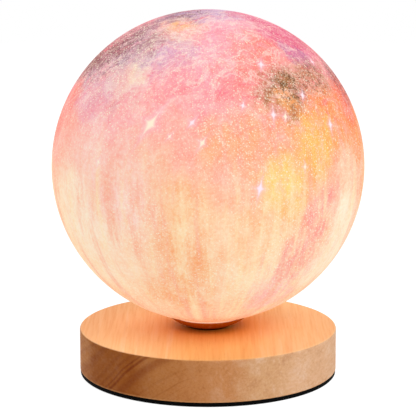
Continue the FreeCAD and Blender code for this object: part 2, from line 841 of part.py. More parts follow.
def make_usb_socket():
    """Drawn steel shell of the charging inlet, closed at its back."""
    body = new_body("usb_socket")
    back = "-(socket_mouth - socket_deep)"
    half = "(socket_wide - socket_high) / 2"
    outer = new_sketch(body, "OuterLines", "XZ_Plane", back)
    outline(outer, stadium("0", "0", half, "(socket_high / 2)"))
    pad(body, outer, "socket_deep", "Shell", reverse=True)
    inner = new_sketch(body, "InnerLines", "XZ_Plane", "-socket_mouth")
    outline(inner, stadium("0", "0", half, "(socket_high / 2 - socket_skin)"))
    pocket(body, inner, "socket_deep - 2 * socket_skin", "Mouth", reverse=True)
    return place(body, across="-port_offset", level="port_level")


def make_usb_tongue():
    """Contact tongue in the middle of the inlet."""
    back = "socket_mouth - socket_deep + 2 * socket_skin"
    return box_piece("usb_tongue", (
        ("-port_offset - tongue_wide / 2", "-port_offset + tongue_wide / 2"),
        (back, back + " + tongue_deep"),
        ("port_level - tongue_thick / 2", "port_level + tongue_thick / 2"),
    ))


def make_switch_body():
    """Push switch on the board, with a well for its plunger."""
    body = new_body("switch_body")
    block = new_sketch(body, "BlockLines", "XZ_Plane", "-(switch_front - switch_deep)")
    low = "board_top - port_level"
    outline(block, rectangle("-switch_wide / 2", low, "switch_wide / 2", low + " + switch_high"))
    pad(body, block, "switch_deep", "Block", reverse=True)
    well = new_sketch(body, "WellRound", "XZ_Plane", "-switch_front")
    rings(well, ["plunger_radius + plunger_gap"])
    pocket(body, well, "switch_well", "Well", reverse=True)
    return place(body, across="port_offset", level="port_level")


def make_switch_plunger():
    """Plunger between the button's stem and the switch."""
    body = new_body("switch_plunger")
    sketch = rings(new_sketch(body, "Round", "XZ_Plane", "-plunger_back"), ["plunger_radius"])
    pad(body, sketch, "stem_back - plunger_back", "Rod", reverse=True)
    return place(body, across="port_offset", level="port_level")


def make_power_button():
    """Push button with a crowned face, a retaining flange and a stem, turned about Y."""
    body = new_body("power_button")
    flange_front = "(panel_front_inside - button_gap)"
    flange_back = "(%s - button_flange_thick)" % flange_front
    crown = "((button_radius ^ 2 + button_crown ^ 2) / (2 * button_crown))"
    section = new_sketch(body, "Section", "XY_Plane")
    outline(section, [
        ("0", "stem_back"),
        ("stem_radius", "stem_back"),
        ("stem_radius", flange_back),
        ("button_flange", flange_back),
        ("button_flange", flange_front),
        ("button_radius", flange_front),
        ("button_radius", "button_front - button_crown", crown, 1),
        ("0", "button_front"),
    ])
    feature = body.newObject("PartDesign::Revolution", "Turning")
    feature.Profile = section
    feature.ReferenceAxis = (section, ["V_Axis"])
    feature.Angle = 360
    doc.recompute()
    return place(body, across="port_offset", level="port_level")


# ---- electronics -------------------------------------------------------------------------


def make_control_board():
    """Charging and dimming board, with one nose under the inlet and one under the switch."""
    body = new_body("control_board")
    shape = new_sketch(body, "BoardLines")
    outline(shape, [
        ("-board_half", "board_front"),
        ("board_half", "board_front"),
        ("board_half", "board_back"),
        ("nose_outer", "board_back"),
        ("nose_outer", "switch_front"),
        ("nose_inner", "switch_front"),
        ("nose_inner", "board_back"),
        ("-nose_inner", "board_back"),
        ("-nose_inner", "socket_nose"),
        ("-nose_outer", "socket_nose"),
        ("-nose_outer", "board_back"),
        ("-board_half", "board_back"),
    ])
    pad(body, shape, "board_thick", "Board")
    holes = rings(new_sketch(body, "HoleRounds"), ["board_screw_radius + glue_gap"], board_posts())
    pocket(body, holes, "board_thick", "Holes", reverse=True)
    return place(body, level="board_low")


def make_board_screws():
    """Four screws that hold the board to its posts."""
    screws = []
    for number, spot in enumerate(board_posts()):
        screws.append(screw("BoardScrew%d" % number, "board_screw_radius",
                            "board_thick + board_screw_bite - glue_gap", "board_screw_head",
                            "board_screw_head_high", spot, "board_top"))
    return group("board_screws", screws)


def on_board(across, along, wide, deep, high):
    """Give the three spans of a component that stands on the board."""
    return (
        ("%s - %s / 2" % (across, wide), "%s + %s / 2" % (across, wide)),
        ("%s - %s / 2" % (along, deep), "%s + %s / 2" % (along, deep)),
        ("board_top", "board_top + " + high),
    )


def make_board_parts():
    """The chips, choke, capacitors and cell header on the board."""
    charger = on_board("-port_offset", "charger_depth", "charger_side", "charger_side", "charger_high")
    driver = on_board("driver_across", "parts_row", "driver_wide", "driver_deep", "driver_high")
    choke = on_board("-choke_side", "parts_row", "choke_side", "choke_side", "choke_high")
    capacitors = []
    for number in range(int(size("capacitor_count"))):
        across = "-capacitor_first - %d * capacitor_pitch" % number
        spans = on_board(across, "capacitor_row", "capacitor_wide", "capacitor_deep", "capacitor_high")
        capacitors.append(box_piece("Capacitor%d" % number, spans))
    return [
        box_piece("charger_chip", charger),
        box_piece("driver_chip", driver),
        box_piece("power_choke", choke),
        group("capacitors", capacitors),
        box_piece("cell_header", (cell_plug_span(), header_span(), plug_height())),
    ]


def cell_plug_span():
    """Span of the cell's plug and header across the lamp."""
    middle = "cell_lead_first + cell_lead_pitch / 2"
    return middle + " - plug_wide / 2", middle + " + plug_wide / 2"


def header_span():
    """Span of the header from front to back."""
    return "post_front + post_radius + glue_gap", "post_front + post_radius + plug_deep"


def plug_height():
    """Span of the plug and header above the board."""
    return "board_top", "board_top + plug_high"


def make_cell_plug():
    """Plug on the cell's leads, pushed up against the header."""
    front = header_span()[0]
    return box_piece("cell_plug", (cell_plug_span(), (front + " - plug_deep", front), plug_height()))


def make_battery_cell():
    """Flat rechargeable cell with rounded ends."""
    body = new_body("battery_cell")
    flat = new_sketch(body, "CellLines")
    half_long = "cell_long / 2"
    half_wide = "cell_wide / 2"
    outline(flat, rectangle("-" + half_long, "-" + half_wide, half_long, half_wide))
    pad(body, flat, "cell_high", "Cell")

    def upright(edge):
        return abs(edge.BoundBox.ZLength - size("cell_high")) < SAME

    dress_edges(body, "Fillet", "cell_round", upright, "Corners")
    return place(body, along="-cell_middle", level="cover_top + tape_thick")


def make_battery_tape():
    """Foam tape under the cell."""
    half_long = "(cell_long / 2 - tape_margin)"
    half_wide = "(cell_wide / 2 - tape_margin)"
    return box_piece("battery_tape", (
        ("-" + half_long, half_long),
        ("-cell_middle - " + half_wide, "-cell_middle + " + half_wide),
        ("cover_top", "cover_top + tape_thick"),
    ))


def make_led_leads():
    """Red and black leads from the light engine down the tube to the control board."""
    low = "board_top + lead_radius"
    route = [
        ("0", "led_board_low"),
        ("0", low + " + lead_bend", "lead_bend", 1),
        ("lead_bend", low),
        ("lead_end", low),
    ]
    leads = []
    for name, side in (("led_lead_red", "-lead_offset"), ("led_lead_black", "lead_offset")):
        start = ("XY_Plane", side, "0")
        leads.append(piped(name, "YZ_Plane", side, route, start, "led_board_low"))
    return leads


def make_cell_leads():
    """Red and black leads from the cell, climbing to the plug."""
    start = "cell_wide / 2 - cell_middle"
    end = header_span()[0] + " - plug_deep"
    level = "(cover_top + tape_thick + cell_high / 2)"
    target = "(board_top + plug_high / 2)"
    rise = "(%s - %s)" % (target, level)
    bend = "((cell_lead_climb ^ 2 + %s ^ 2) / (4 * %s))" % (rise, rise)
    route = [
        (start, level),
        (start + " + cell_lead_start", level, bend, 1),
        (start + " + cell_lead_start + cell_lead_climb / 2", "(%s + %s) / 2" % (level, target), bend, -1),
        (start + " + cell_lead_start + cell_lead_climb", target),
        (end, target),
    ]
    leads = []
    for number, name in enumerate(("cell_lead_red", "cell_lead_black")):
        across = "cell_lead_first + %d * cell_lead_pitch" % number
        circle = ("XZ_Plane", across, level)
        leads.append(piped(name, "YZ_Plane", across, route, circle, "-(%s)" % start))
    return leads


def check_and_write(pieces):
    """Stop if any object failed, then write one file for each piece."""
    doc.recompute()
    for item in doc.Objects:
        if "Invalid" in item.State or "Error" in item.State:
            raise RuntimeError("%s is %s" % (item.Label, item.State))
    for piece in pieces:
        if piece.Shape.isNull() or not piece.Shape.isValid():
            raise RuntimeError(piece.Label + " has no valid shape")
    os.makedirs("parts", exist_ok=True)
    for piece in pieces:
        piece.Shape.exportStep("parts/%s.step" % piece.Label)
        print("%-16s %d solid(s) %9.1f mm3" % (piece.Label, len(piece.Shape.Solids), piece.Shape.Volume))


def main():
    """Build every piece in the order in which the lamp is put together."""
    fill_sheet()
    pieces = [
        make_foot_pad(), make_bottom_cover(), make_cover_screws(), make_wood_base(),
        make_neck_dish(), make_seat_ring(), make_stem_tube(), make_stem_washer(), make_stem_nut(),
        make_lamp_holder(), make_globe_collar(), make_globe_shell(),
        make_heat_sink(), make_led_board(), make_led_chips(), make_led_diffuser(), make_led_screws(),
        make_port_panel(), make_usb_socket(), make_usb_tongue(),
        make_switch_body(), make_switch_plunger(), make_power_button(),
        make_control_board(), make_board_screws(), make_cell_plug(),
        make_battery_cell(), make_battery_tape(),
    ]
    pieces += make_board_parts()
    pieces += make_led_leads()
    pieces += make_cell_leads()
    check_and_write(pieces)


main()
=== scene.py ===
"""Moon lamp with a glowing cloud and star print: its finishes, floor, light and camera.

All lengths are metres in the lamp's own frame. The foot stands on z = 0 and the front looks along -Y.
"""

import logging
import math
from dataclasses import dataclass
from enum import Enum
from typing import Sequence, Union

import bpy
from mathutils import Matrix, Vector


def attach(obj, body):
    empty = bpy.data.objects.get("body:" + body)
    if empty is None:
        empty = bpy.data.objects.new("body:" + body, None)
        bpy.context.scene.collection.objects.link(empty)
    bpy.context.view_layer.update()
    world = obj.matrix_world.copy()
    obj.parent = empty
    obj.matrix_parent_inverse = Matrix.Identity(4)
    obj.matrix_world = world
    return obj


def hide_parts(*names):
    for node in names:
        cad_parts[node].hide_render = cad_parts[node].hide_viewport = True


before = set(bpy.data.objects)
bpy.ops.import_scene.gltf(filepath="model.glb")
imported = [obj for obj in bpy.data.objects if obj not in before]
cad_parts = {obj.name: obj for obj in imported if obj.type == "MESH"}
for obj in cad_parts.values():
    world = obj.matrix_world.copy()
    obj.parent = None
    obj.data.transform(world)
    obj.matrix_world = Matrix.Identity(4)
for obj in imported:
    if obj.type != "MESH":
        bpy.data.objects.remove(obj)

LOG = logging.getLogger("moon_lamp")
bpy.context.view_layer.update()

Socket = bpy.types.NodeSocket
Value = Union[Socket, float, Sequence[float]]
Colour = tuple[float, float, float, float]
Place = tuple[float, float, float]

WHITE = (1.0, 1.0, 1.0, 1.0)
BLACK = (0.0, 0.0, 0.0, 1.0)
NOISE_MIDDLE = (0.5, 0.5, 0.5)
# A Mix node has its colour inputs and its colour output at these places.
MIX_SHARE, MIX_FIRST, MIX_SECOND, MIX_RESULT = 0, 6, 7, 2


def tone(red: int, green: int, blue: int) -> Colour:
    """Turn a colour as it looks on a screen into the linear colour that a shader takes.

    Args:
        red, green, blue: parts of the colour, 0 to 255.

    Returns:
        Linear red, green and blue, and an alpha of 1.
    """
    def linear(part: int) -> float:
        """Undo the screen's curve for one part."""
        share = part / 255.0
        return share / 12.92 if share <= 0.04045 else ((share + 0.055) / 1.055) ** 2.4
    return (linear(red), linear(green), linear(blue), 1.0)


def outward(azimuth: float, elevation: float) -> Vector:
    """Give the direction at degrees to the right of the front and degrees above the middle."""
    turn, rise = math.radians(azimuth), math.radians(elevation)
    return Vector((math.sin(turn) * math.cos(rise), -math.cos(turn) * math.cos(rise), math.sin(rise)))


class Nodes:
    """A node tree, with short calls for the nodes that the finishes share."""

    def __init__(self, tree: bpy.types.NodeTree) -> None:
        """Hold the tree."""
        self.tree = tree

    def add(self, kind: str) -> bpy.types.Node:
        """Add a shader node of that kind."""
        return self.tree.nodes.new(f"ShaderNode{kind}")

    def feed(self, socket: Socket, value: Value) -> None:
        """Link a value to a socket, or write it there when it is plain.

        Args:
            socket: the input.
            value: a socket, or a plain number, vector or colour.
        """
        if isinstance(value, bpy.types.NodeSocket):
            self.tree.links.new(value, socket)
        else:
            socket.default_value = value

    def fill(self, node: bpy.types.Node, *values: Value, **named: Value) -> bpy.types.Node:
        """Feed a node's inputs in order, or by name in lower case with underscores for spaces.

        Args:
            node: the node.
            values: what its first inputs take.
            named: what the named inputs take.

        Returns:
            The node.
        """
        for socket, value in zip(node.inputs, values):
            self.feed(socket, value)
        for name, value in named.items():
            self.feed(node.inputs[name.replace("_", " ").title().replace("Ior", "IOR")], value)
        return node

    def made(self, kind: str, *values: Value) -> Socket:
        """Add a node, feed its first inputs and give its first output."""
        return self.fill(self.add(kind), *values).outputs[0]

    def maths(self, operation: str, *values: Value, clamp: bool = False) -> Socket:
        """Work out a sum on plain numbers.

        Args:
            operation: the Math node's operation.
            values: one to three numbers or sockets.
            clamp: keep the answer from 0 to 1.

        Returns:
            The answer's socket.
        """
        node = self.add("Math")
        node.operation = operation
        node.use_clamp = clamp
        return self.fill(node, *values).outputs["Value"]

    def times(self, first: Value, second: Value) -> Socket:
        """Multiply two numbers."""
        return self.maths("MULTIPLY", first, second)

    def larger(self, first: Value, second: Value) -> Socket:
        """Give the larger of two numbers."""
        return self.maths("MAXIMUM", first, second)

    def apart(self, first: Value, second: Value) -> Socket:
        """Give how far two numbers lie apart."""
        return self.maths("ABSOLUTE", self.maths("SUBTRACT", first, second))

    def vector(self, operation: str, *values: Value) -> Socket:
        """Work out a sum on vectors.

        Args:
            operation: the Vector Math node's operation.
            values: one to three vectors or sockets, and for SCALE a vector and a number.

        Returns:
            The answer's socket, a number for a dot product or a length.
        """
        node = self.add("VectorMath")
        node.operation = operation
        if operation == "SCALE":
            self.fill(node, vector=values[0], scale=values[1])
        else:
            self.fill(node, *values)
        plain = operation in {"DOT_PRODUCT", "LENGTH"}
        return node.outputs["Value" if plain else "Vector"]

    def stretched(self, place: Socket, sizes: Sequence[float]) -> Socket:
        """Scale a place along X, Y and Z."""
        return self.vector("MULTIPLY", place, tuple(sizes))

    def parts(self, place: Socket) -> tuple[Socket, ...]:
        """Take a place apart into X, Y and Z."""
        return tuple(self.fill(self.add("SeparateXYZ"), place).outputs)

    def noise(self, place: Socket, scale: float, detail: float = 2.0, roughness: float = 0.5,
              swirl: float = 0.0, coloured: bool = False) -> Socket:
        """Add cloudy noise.

        Args:
            place: where to read it.
            scale: lumps per unit of length.
            detail: how many finer layers lie on it.
            roughness: how strong the finer layers are.
            swirl: how far it is pulled about by itself.
            coloured: give three noises as a colour instead of one.

        Returns:
            The noise, about 0.5 in the middle.
        """
        node = self.add("TexNoise")
        self.fill(node, vector=place, scale=scale, detail=detail, roughness=roughness, distortion=swirl)
        return node.outputs["Color" if coloured else "Fac"]

    def push(self, place: Socket, scale: float, pull: float, detail: float = 4.0,
             roughness: float = 0.6) -> Socket:
        """Give a cloudy push that goes every way and is about as long as the pull."""
        cloudy = self.noise(place, scale, detail, roughness, coloured=True)
        return self.vector("SCALE", self.vector("SUBTRACT", cloudy, NOISE_MIDDLE), pull)

    def cells(self, place: Socket, scale: float) -> tuple[Socket, Socket]:
        """Scatter points, and give the distance to the nearest in cells and its own random colour."""
        node = self.fill(self.add("TexVoronoi"), vector=place, scale=scale)
        return node.outputs["Distance"], node.outputs["Color"]

    def spread(self, value: Value, low: float, high: float, to_low: float = 0.0,
               to_high: float = 1.0) -> Socket:
        """Map a number smoothly onto another range, and hold the ends.

        Args:
            value: the number.
            low, high: its range.
            to_low, to_high: what the range's ends become.

        Returns:
            The mapped number.
        """
        node = self.add("MapRange")
        node.interpolation_type = "SMOOTHSTEP"
        self.fill(node, value=value, from_min=low, from_max=high, to_min=to_low, to_max=to_high)
        return node.outputs["Result"]

    def mix(self, share: Value, first: Value, second: Value, blend: str = "MIX") -> Socket:
        """Blend two colours.

        Args:
            share: how much of the second shows.
            first, second: the colours.
            blend: the blend's kind.

        Returns:
            The blended colour.
        """
        node = self.add("Mix")
        node.data_type = "RGBA"
        node.blend_type = blend
        for index, value in ((MIX_SHARE, share), (MIX_FIRST, first), (MIX_SECOND, second)):
            self.feed(node.inputs[index], value)
        return node.outputs[MIX_RESULT]

    def ramp(self, value: Value, stops: Sequence[tuple[float, Colour]]) -> Socket:
        """Turn a number from 0 to 1 into a colour.

        Args:
            value: the number.
            stops: the colours, each with the number that it belongs to.

        Returns:
            The colour.
        """
        node = self.add("ValToRGB")
        node.color_ramp.interpolation = "EASE"
        line = node.color_ramp.elements
        while len(line) < len(stops):
            line.new(0.5)
        for element, (position, colour) in zip(line, stops):
            element.position = position
            element.color = colour
        return self.fill(node, value).outputs["Color"]


class Graph(Nodes):
    """The node tree of one material: its shader, the object's own coordinates and the colour so far."""

    def __init__(self, name: str) -> None:
        """Start a material.

        Args:
            name: the material's name.
        """
        self.material = bpy.data.materials.new(name)
        self.material.use_nodes = True
        super().__init__(self.material.node_tree)
        self.tree.nodes.clear()
        self.shader = self.add("BsdfPrincipled")
        self.output = self.fill(self.add("OutputMaterial"), self.shader.outputs["BSDF"])
        self.place: Socket = self.add("TexCoord").outputs["Object"]
        self.colour: Value = WHITE

    def drawn(self, sizes: Sequence[float], scale: float, detail: float, roughness: float) -> Socket:
        """Add cloudy noise that is drawn out along X, Y or Z."""
        return self.noise(self.stretched(self.place, sizes), scale, detail, roughness)

    def lay(self, share: Value, colour: Value, blend: str = "MIX") -> None:
        """Lay a colour over the colour so far."""
        self.colour = self.mix(share, self.colour, colour, blend)

    def veil(self, value: Value, low: float, high: float, most: float, colour: Value,
             blend: str = "MIX") -> None:
        """Lay a colour over the colour so far, most of it where a number is high and none where it is low."""
        self.lay(self.spread(value, low, high, 0.0, most), colour, blend)

    def surface(self, **named: Value) -> None:
        """Feed the shader the colour so far and the named inputs."""
        self.fill(self.shader, base_color=self.colour, **named)

    def relief(self, height: Socket, depth: float, strength: float) -> None:
        """Raise the surface by a height times a depth in metres, as strongly as given."""
        bump = self.fill(self.add("Bump"), height=height, distance=depth, strength=strength)
        self.fill(self.shader, normal=bump.outputs["Normal"])


@dataclass(frozen=True)
class Finish:
    """What a surface is made of. Each kind paints its own nodes."""

    name: str

    def paint(self, graph: Graph) -> None:
        """Add this finish's nodes to a graph."""
        raise NotImplementedError

    def material(self) -> bpy.types.Material:
        """Make the finished material.

        Returns:
            The material, named after the finish.
        """
        graph = Graph(f"{self.name}_finish")
        self.paint(graph)
        return graph.material


class Ink(Enum):
    """The print's colours as they look on a screen."""

    IVORY = (255, 232, 202)
    BLUSH = (255, 212, 200)
    SHELL = (255, 216, 184)
    PEACH = (252, 190, 136)
    APRICOT = (251, 177, 122)
    AMBER = (252, 166, 104)
    GOLD = (253, 188, 100)
    STRAW = (254, 208, 122)
    TANGERINE = (251, 150, 88)
    VERMILION = (250, 110, 78)
    CORAL = (251, 138, 128)
    SALMON = (250, 158, 148)
    ROSE = (253, 154, 164)
    PINK = (252, 174, 188)
    PETAL = (254, 190, 190)
    MAGENTA = (230, 98, 136)
    CRIMSON = (214, 88, 118)
    VIOLET = (184, 112, 158)
    LILAC = (208, 170, 202)
    ASH_ROSE = (206, 172, 184)
    PLUM = (140, 96, 122)
    MAROON = (152, 73, 79)
    UMBER = (158, 104, 58)
    SIENNA = (184, 116, 76)
    SOOT_ROSE = (130, 72, 86)
    SOOT_BROWN = (110, 74, 46)

    def colour(self) -> Colour:
        """Give the linear colour."""
        return tone(*self.value)


@dataclass(frozen=True)
class Cloud:
    """One soft patch of colour in the globe's print."""

    azimuth: float
    elevation: float
    reach: float
    ink: Ink
    weight: float = 0.85


@dataclass(frozen=True)
class Flare:
    """One four-pointed star in the globe's print."""

    azimuth: float
    elevation: float
    length: float
    lean: float
    tint: Colour
    slim: float = 0.5


CREAM = tone(255, 240, 214)
ROSE_WHITE = tone(255, 232, 238)

FRONT_CLOUDS = (
    Cloud(-40, -4, 20, Ink.BLUSH, 0.75),
    Cloud(-26, 66, 9, Ink.PEACH, 0.80),
    Cloud(-21, 53, 9, Ink.LILAC, 0.60),
    Cloud(-56, 43, 16, Ink.ASH_ROSE, 0.75),
    Cloud(-49, 55, 10, Ink.ASH_ROSE, 0.70),
    Cloud(-57, 30, 7, Ink.PINK, 0.50),
    Cloud(-86, 53, 15, Ink.MAROON, 0.95),
    Cloud(-104, 68, 14, Ink.PLUM, 0.90),
    Cloud(-57, 80, 8, Ink.PLUM, 0.80),
    Cloud(-39, 57, 5, Ink.MAROON, 0.45),
    Cloud(-44, 39, 6, Ink.BLUSH, 0.55),
    Cloud(-33, 33, 8, Ink.BLUSH, 0.42),
    Cloud(-50, 12, 10, Ink.BLUSH, 0.60),
    Cloud(-35, 44, 4, Ink.IVORY, 0.65),
    Cloud(-15, 39, 9, Ink.ROSE, 0.50),
    # Partly print, partly painted shade: these two coral clouds near the left rim also stand for the deeper,
    # darker colour that the rim shows from the front.
    Cloud(-78, 26, 9, Ink.CORAL, 0.80),
    Cloud(-86, 14, 8, Ink.CORAL, 0.75),
    Cloud(42, 22, 21, Ink.AMBER, 0.60),
    Cloud(8, 85, 9, Ink.LILAC),
    Cloud(62, 82, 8, Ink.LILAC, 0.7),
    Cloud(10, 63, 11, Ink.PINK, 0.7),
    Cloud(12, 51, 7, Ink.PETAL, 0.45),
    Cloud(35, 66, 8, Ink.PINK, 0.7),
    Cloud(68, 60, 13, Ink.MAGENTA, 0.9),
    Cloud(94, 48, 11, Ink.CRIMSON),
    Cloud(57, 50, 5, Ink.VIOLET, 0.65),
    Cloud(33, 54, 9, Ink.CORAL, 0.80),
    Cloud(19, 42, 10, Ink.CORAL, 0.65),
    Cloud(8, 32, 11, Ink.ROSE, 0.42),
    Cloud(32, 40, 6, Ink.UMBER, 0.50),
    Cloud(41, 37, 7, Ink.UMBER, 0.70),
    Cloud(32, 32, 7, Ink.UMBER, 0.78),
    Cloud(60, 38, 8, Ink.SIENNA, 0.60),
    Cloud(46, 35, 5, Ink.SALMON, 0.5),
    Cloud(86, 32, 10, Ink.MAROON, 0.95),
    Cloud(75, 25, 9, Ink.VERMILION),
    Cloud(33, 31, 4, Ink.AMBER, 0.8),
    Cloud(37, 26, 3, Ink.UMBER, 0.80),
    Cloud(47, 25, 8, Ink.TANGERINE, 0.75),
    Cloud(60, 20, 11, Ink.TANGERINE, 0.8),
    Cloud(44, 16, 9, Ink.GOLD),
    # Partly print, partly painted shade: this cloud near the right rim also stands for the deeper colour that
    # the rim shows from the front.
    Cloud(74, 12, 6, Ink.TANGERINE, 0.8),
    Cloud(61, 4, 6, Ink.SHELL, 0.6),
    Cloud(39, 7, 7, Ink.GOLD, 0.55),
    Cloud(10, 18, 10, Ink.APRICOT, 0.6),
    Cloud(27, 2, 9, Ink.STRAW),
    Cloud(-8, -3, 9, Ink.PEACH, 0.55),
    Cloud(-57, -11, 13, Ink.IVORY, 0.8),
    Cloud(-42, -26, 11, Ink.IVORY, 0.7),
    Cloud(-10, -25, 12, Ink.APRICOT, 0.75),
    Cloud(-13, -41, 10, Ink.APRICOT, 0.7),
    Cloud(-29, -27, 11, Ink.SHELL, 0.65),
    Cloud(22, -14, 12, Ink.PEACH, 0.48),
    Cloud(47, -9, 9, Ink.SALMON, 0.90),
    Cloud(37, -25, 10, Ink.SALMON, 0.75),
    Cloud(32, -43, 8, Ink.PETAL, 0.60),
    Cloud(62, -14, 9, Ink.IVORY, 0.95),
    Cloud(59, -30, 11, Ink.IVORY, 0.9),
    # Partly print, partly painted shade: these two clouds at the right rim also stand for the deeper colour
    # that the rim shows from the front.
    Cloud(84, -4, 8, Ink.AMBER, 0.80),
    Cloud(87, 12, 10, Ink.TANGERINE),
    Cloud(78, 76, 7, Ink.MAGENTA, 0.70),
)

BACK_CLOUDS = (
    Cloud(112, 34, 20, Ink.SALMON),
    Cloud(128, 8, 16, Ink.APRICOT),
    Cloud(104, -24, 13, Ink.SALMON),
    Cloud(140, 52, 15, Ink.ASH_ROSE),
    Cloud(152, 28, 14, Ink.CORAL),
    Cloud(170, 44, 13, Ink.PINK),
    Cloud(176, 14, 9, Ink.UMBER, 0.75),
    Cloud(162, 4, 8, Ink.GOLD),
    Cloud(-164, 30, 13, Ink.CORAL),
    Cloud(-150, 56, 14, Ink.ASH_ROSE),
    Cloud(-142, 14, 14, Ink.ROSE),
    Cloud(-120, 36, 15, Ink.PEACH),
    Cloud(-112, 4, 15, Ink.PEACH),
    Cloud(-128, -22, 13, Ink.IVORY),
    Cloud(-158, -14, 12, Ink.SALMON),
    Cloud(146, -22, 14, Ink.IVORY),
    Cloud(176, -34, 13, Ink.PEACH),
    Cloud(120, -46, 12, Ink.SHELL),
    Cloud(-104, -40, 13, Ink.SALMON),
    Cloud(-96, 62, 11, Ink.ROSE),
)

FLARES = (
    Flare(-22, 24, 0.118, 30, CREAM, 0.42),
    Flare(-6, 25, 0.046, 38, ROSE_WHITE),
    Flare(-2, 18, 0.050, 32, CREAM),
    Flare(-14, 20, 0.030, 40, CREAM),
    Flare(14, 31, 0.036, 20, ROSE_WHITE),
    Flare(18, 2, 0.076, 14, tone(255, 232, 246), 0.42),
    Flare(26, 27, 0.052, 8, ROSE_WHITE),
    Flare(31, 26, 0.044, 14, CREAM),
    Flare(43, 33, 0.046, 24, ROSE_WHITE),
    Flare(53, 21, 0.060, 12, ROSE_WHITE, 0.45),
    Flare(28, 47, 0.050, 22, ROSE_WHITE),
    Flare(66, 45, 0.038, 20, ROSE_WHITE),
    Flare(-42, 9, 0.040, 16, CREAM, 0.4),
    Flare(36, 8, 0.034, 4, CREAM),
    Flare(98, 20, 0.064, 20, CREAM, 0.45),
    Flare(138, 34, 0.075, 28, ROSE_WHITE, 0.4),
    Flare(166, 18, 0.055, 10, CREAM),
    Flare(-152, 6, 0.070, 15, CREAM, 0.42),
    Flare(-116, 24, 0.087, 32, ROSE_WHITE, 0.38),
    Flare(-98, -4, 0.049, 6, CREAM),
)

# Where dust gathers: azimuth, elevation, the cosine at which it starts, and its share in the middle.
DUST_PLACES = (
    (32.0, 32.0, 0.60, 0.9),
    (-64.0, 50.0, 0.84, 1.1),
    (42.0, -22.0, 0.90, 1.0),
)

# Dust from fine to coarse: dots per radius, a dot's half width in cells, and its strength.
DUST_LAYERS = (
    (112.0, 0.44, 0.50),
    (78.0, 0.40, 0.60),
    (56.0, 0.36, 0.75),
    (41.0, 0.27, 0.85),
    (25.0, 0.17, 0.95),
)

# Ground colours from the mouth up to the crown, each with its level.
SKY_STOPS = (
    (0.06, tone(253, 201, 160)),
    (0.24, tone(255, 216, 178)),
    (0.40, tone(254, 209, 169)),
    (0.52, tone(253, 193, 161)),
    (0.64, tone(254, 180, 164)),
    (0.78, tone(254, 170, 172)),
    (0.95, tone(250, 176, 190)),
)

# Patches with dark specks.
DUSKY_PATCHES = (
    Cloud(-74, 52, 22, Ink.SOOT_ROSE),
    Cloud(-58, 82, 10, Ink.SOOT_ROSE),
    Cloud(38, 37, 10, Ink.SOOT_BROWN),
    Cloud(56, 39, 10, Ink.SOOT_BROWN, 0.62),
    Cloud(85, 34, 13, Ink.SOOT_ROSE),
    Cloud(176, 16, 21, Ink.SOOT_BROWN, 0.34),
    Cloud(168, 22, 10, Ink.SOOT_BROWN, 0.40),
    Cloud(142, 52, 22, Ink.SOOT_ROSE, 0.42),
)


